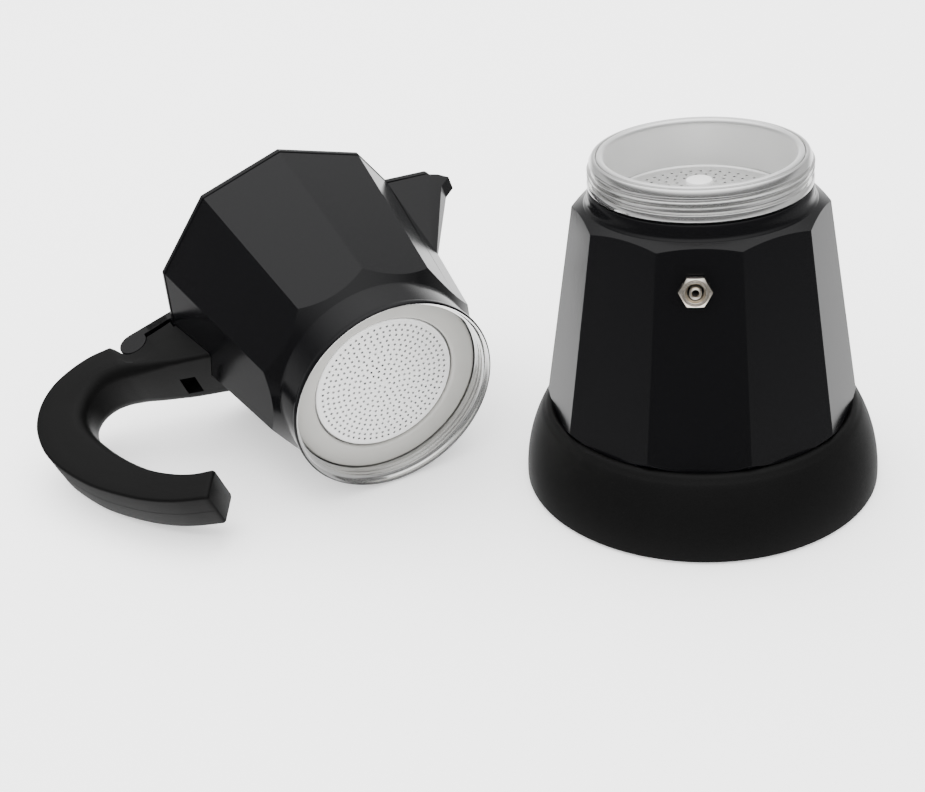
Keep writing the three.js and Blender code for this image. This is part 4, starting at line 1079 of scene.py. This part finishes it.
class MokaHandle(bpy.types.Operator):
    """Handle with its hooked grip, the middle knuckle and the hinge pin"""

    bl_idname = "moka.handle"
    bl_label = "Handle"

    def execute(self, context):
        plastic = [finish("phenolic")]
        stations = handle_stations()
        handle = place_piece(self.hook(stations), "grip", COLLECTOR, "collector_and_handle",
                             ["handle"], plastic)
        seat_gap = 0.15
        cut(handle, decagon(collector_corner(8) + seat_gap, collector_corner(91) + seat_gap, 8, 91),
            COLLECTOR)
        cut(handle, decagon(54.2, 54.2, 89.9, 103), COLLECTOR)
        cut(handle, block(54.6, 60.0, -7.2, 1.0, 55, 77), COLLECTOR)
        soften(handle, 0.3, 38)
        place_piece(parting_line(stations[2 - GRIP_STEPS:]), "grip_flash", COLLECTOR,
                    "collector_and_handle", [], plastic)
        dome = arc((HINGE_REACH, HINGE_Z), 5.2, 180, 0, 20)
        tongue = prism([(HINGE_REACH - 5.2, 87)] + dome + [(HINGE_REACH + 5.2, 87)], -3.6, 3.6)
        place_piece(tongue, "middle_knuckle", COLLECTOR, "collector_and_handle", [],
                    plastic, 0.3, 30)
        self.hinge_pin()
        return {"FINISHED"}

    def hook(self, stations):
        """The handle through its stations, with a rounded tip."""
        rings = [handle_section(station) for station in stations]
        before, tip = rings[-2:]
        middle = [sum(c) / len(tip) for c in zip(*tip)]
        ahead = Vector((tip[0][0] - before[0][0], 0, tip[0][2] - before[0][2])).normalized()
        for step, shrink in ((0.35, 0.985), (0.75, 0.95), (0.95, 0.9)):
            rings.append([tuple(m + (c - m) * shrink + a * step
                                for c, m, a in zip(point, middle, ahead)) for point in tip])
        return Body().add(*loft(rings))

    def hinge_pin(self):
        """The steel pin across the hinge."""
        rows = [(0, -7.3), (1.3, -7.3), (1.5, -7.1), (1.5, 7.1), (1.3, 7.3), (0, 7.3)]
        steel, faces, _ = grid(rows, 32, close=False)
        pin = Body().add([(HINGE_REACH + x, z, HINGE_Z + y) for x, y, z in steel], faces)
        place_piece(pin, "hinge_rod", COLLECTOR, "collector_and_handle", ["hinge_pin"],
                    [finish("steel")])


class MokaLid(bpy.types.Operator):
    """Faceted lid with its hinge arms, beak and knob"""

    bl_idname = "moka.lid"
    bl_label = "Lid"

    def execute(self, context):
        self.shell()
        self.beak_and_arms()
        self.knob()
        return {"FINISHED"}

    def shell(self):
        """The faceted cover with its inner lip."""
        outside = [(44.2, 88.9), (44.4, 89.2), (44.4, 91.0), flats(53.35, 91.0, 0.0),
                   flats(53.64, 91.3, 0.0), flats(53.64, 93.1, 0.0), flats(53.3, 93.4, 0.0),
                   flats(50.5, 93.5, 0.0), flats(50.0, 93.9, 0.0), flats(40.0, 96.9, 0.0),
                   flats(26.0, 99.7, 0.0), flats(12.0, 101.3, 0.0), (9.4, 101.45), (2.3, 101.45)]
        inside = [(2.3, 99.2), (9, 99.1), flats(24.0, 97.4, 0.0), flats(38.5, 94.6, 0.0),
                  flats(44.3, 92.2, 0.0), (42.7, 91.4), (42.6, 89.2), (42.8, 88.9)]
        marks = [0] * len(outside) + [1] * len(inside)
        points, faces, slots = grid(outside + inside, FACETS * FACET_COLUMNS, 0.0, True, marks)
        place_piece(Body().add(points, faces, slots), "lid_shell", COLLECTOR, "lid_and_knob",
                    ["lid"], [finish("coating"), finish("cast")],
                    mm(sizes().edge), 20)

    def beak_and_arms(self):
        """The cover of the spout, and the two hinge arms with the bridge that carries them."""
        corners = [corner for height in (91.0, 93.4)
                   for side in ((-44, 15.8), (-65.3, 7.2), (-66.2, 6.0))
                   for corner in both(*side, height)]
        place_piece(hull_body(corners), "lid_beak", COLLECTOR, "lid_and_knob", [],
                    [finish("coating")], mm(sizes().edge), 20)
        knuckle = arc((HINGE_REACH, HINGE_Z), 5.5, 169, 450, 34)
        outline = [(51.0, 97.2), (60.6, 97.2), (61.5, 97.25), *knuckle, (52.0, 101.25), (51.0, 100.7)]
        bridge = [(34.0, 95.5), (47.5, 95.5), (51.0, 97.2), (60.2, 97.2), (60.2, 101.42),
                  (50.2, 101.2), (46.0, 100.8), (36.0, 99.8)]
        for name, side, low, high in (("arm_near", outline, ARM_INSIDE, ARM_OUTSIDE),
                                      ("arm_far", outline, -ARM_OUTSIDE, -ARM_INSIDE),
                                      ("arm_bridge", bridge, -ARM_OUTSIDE, ARM_OUTSIDE)):
            place_piece(prism(side, low, high), f"lid_{name}", COLLECTOR, "lid_and_knob", [],
                        [finish("coating")], mm(sizes().edge), 24)

    def knob(self):
        """The waisted knob on the lid's middle."""
        low = 101.7
        side = smooth_run([(7.2, low), (5.9, low + 2.4), (5.7, low + 4.2), (7.0, low + 6.6),
                           (9.5, low + 9.0), (10.45, low + 11.0), (9.9, low + 13.4),
                           (7.4, low + 15.6), (3.6, low + 16.8), (0, low + 17)], 40)
        knob = turned([(2.3, low + 8.8), (2.3, low), (6.9, low)] + side + [(0, low + 9)], 64,
                      close=False)
        place_piece(knob, "lid_button", COLLECTOR, "lid_and_knob", ["lid_knob"],
                    [finish("phenolic")])
        keep_node("knob_screw", "steel")


# ---------- stage ----------


class MokaStage(bpy.types.Operator):
    """Floor, studio light and camera"""

    bl_idname = "moka.stage"
    bl_label = "Stage"

    def execute(self, context):
        self.floor()
        self.light()
        self.camera()
        return {"FINISHED"}

    def floor(self):
        """A wide disc just under the feet, in metres, left out of reflections."""
        reach, drop, corners = 60, 0.0002, 64
        data = bpy.data.meshes.new("floor")
        points = [(x, y, -drop) for x, y in circle(reach, corners)]
        data.from_pydata(points, [], [tuple(range(corners))])
        floor = bpy.data.objects.new("floor", data)
        bpy.context.scene.collection.objects.link(floor)
        material, _, _ = new_material("white acrylic, faintly lit from below", {
            "Base Color": linear(colours().floor), "Roughness": 0.9, "Specular IOR Level": 0.1,
            "Emission Color": (1, 1, 1, 1), "Emission Strength": 0.4})
        data.materials.append(material)
        floor.visible_glossy = False

    def light(self):
        """Even white light, and for shiny surfaces a room with dark sides and a few pale areas.

        The room is brightest low behind the pot, straight below it and straight above it.
        """
        world = bpy.data.worlds.new("studio")
        bpy.context.scene.world = world
        world.use_nodes = True
        tree = world.node_tree
        back = tree.nodes["Background"]
        even, bright, side_bright, dark = 3.6, 2.3, 0.4, 0.12
        space = add_node(tree, "ShaderNodeTexCoord")
        split = add_node(tree, "ShaderNodeSeparateXYZ", {}, {}, {"Vector": (space, "Generated")})
        behind = self.band(tree, split, -0.4, 1.0, 0.68, 1.1)
        below = self.band(tree, split, -1.0, 0.0, 0.5, 0.95)
        above = self.band(tree, split, 1.0, 0.0, 0.33, 1.05)
        beside = self.band(tree, split, -1.5, 1.0, -0.35, 0.3)
        low_areas = add_node(tree, "ShaderNodeMath", {"operation": "MAXIMUM"}, {},
                             {0: (behind, "Result"), 1: (below, "Result")})
        areas = add_node(tree, "ShaderNodeMath", {"operation": "MAXIMUM"}, {},
                         {0: (low_areas, "Value"), 1: (above, "Result")})
        sides = add_node(tree, "ShaderNodeMath", {"operation": "MULTIPLY_ADD"},
                         {1: side_bright, 2: dark}, {0: (beside, "Result")})
        mirrored = add_node(tree, "ShaderNodeMath", {"operation": "MULTIPLY_ADD"}, {1: bright},
                            {0: (areas, "Value"), 2: (sides, "Value")})
        path = add_node(tree, "ShaderNodeLightPath")
        room = add_node(tree, "ShaderNodeMix", {"data_type": "FLOAT"}, {"A": even},
                        {"Factor": (path, "Is Glossy Ray"), "B": (mirrored, "Value")})
        tree.links.new(room.outputs["Result"], back.inputs["Strength"])
        back.inputs["Color"].default_value = (1, 1, 1, 1)
        self.lamp()

    def lamp(self):
        """A soft box overhead that gives the feet their faint shadow."""
        lamp = bpy.data.lights.new("overhead", "AREA")
        lamp.shape = "SQUARE"
        lamp.size = 1.2
        lamp.energy = 14
        box = bpy.data.objects.new("overhead", lamp)
        box.location = (-0.35, 0.5, 1.2)
        aim = Vector((0, 0, 0.05)) - box.location
        box.rotation_euler = aim.to_track_quat("-Z", "Y").to_euler()
        box.visible_glossy = False
        bpy.context.scene.collection.objects.link(box)

    def band(self, tree, split, rise, depth, dark, bright):
        """A smooth step from dark to bright over rise * height + depth * distance behind."""
        height = add_node(tree, "ShaderNodeMath", {"operation": "MULTIPLY"}, {1: rise},
                          {0: (split, "Z")})
        total = add_node(tree, "ShaderNodeMath", {"operation": "MULTIPLY_ADD"}, {1: depth},
                         {0: (split, "Y"), 2: (height, "Value")})
        return add_node(tree, "ShaderNodeMapRange", {"interpolation_type": "SMOOTHSTEP"},
                        {"From Min": dark, "From Max": bright}, {"Value": (total, "Value")})

    def camera(self):
        """The camera in front of the boiler, tipped down and turned a little to its left."""
        back, height = 0.422594, 0.268735
        lens = bpy.data.cameras.new("camera")
        lens.sensor_width = 36
        lens.sensor_fit = "HORIZONTAL"
        lens.lens = 53.228
        camera = bpy.data.objects.new("camera", lens)
        dip, yaw = math.radians(29.74), math.radians(9.818867)
        ahead = Vector((0, math.cos(dip), -math.sin(dip)))
        up = Vector((0, math.sin(dip), math.cos(dip)))
        right = Vector((1, 0, 0))
        look = math.cos(yaw) * ahead - math.sin(yaw) * right
        side = math.cos(yaw) * right + math.sin(yaw) * ahead
        turn = Matrix((side, up, -look)).transposed().to_4x4()
        axis = BOILER.to_translation()
        camera.matrix_world = Matrix.Translation((axis.x, axis.y - back, height)) @ turn
        bpy.context.scene.collection.objects.link(camera)
        bpy.context.scene.camera = camera


# ---------- the add-on ----------

PIECES = [
    MokaBase, MokaConnector, MokaBoiler, MokaValve, MokaFunnel, MokaReducer, MokaCollector,
    MokaColumn, MokaGasket, MokaFilter, MokaHandle, MokaLid, MokaStage,
]


class MokaPanel(bpy.types.Panel):
    """Lists the pieces with their sizes and colours"""

    bl_idname = "VIEW3D_PT_moka"
    bl_label = "Moka Pot"
    bl_space_type = "VIEW_3D"
    bl_region_type = "UI"
    bl_category = "Moka Pot"

    def draw(self, context):
        for group in (context.scene.moka_sizes, context.scene.moka_colours):
            for name in group.bl_rna.properties.keys():
                if name not in ("rna_type", "name"):
                    self.layout.prop(group, name)
        for piece in PIECES:
            self.layout.operator(piece.bl_idname)


CLASSES = [MokaSizes, MokaColours, *PIECES, MokaPanel]


def register():
    for item in CLASSES:
        bpy.utils.register_class(item)
    bpy.types.Scene.moka_sizes = bpy.props.PointerProperty(type=MokaSizes)
    bpy.types.Scene.moka_colours = bpy.props.PointerProperty(type=MokaColours)


def unregister():
    del bpy.types.Scene.moka_colours
    del bpy.types.Scene.moka_sizes
    for item in reversed(CLASSES):
        bpy.utils.unregister_class(item)


def main():
    register()
    for piece in PIECES:
        group, name = piece.bl_idname.split(".")
        getattr(getattr(bpy.ops, group), name)()


if __name__ == "__main__":
    main()
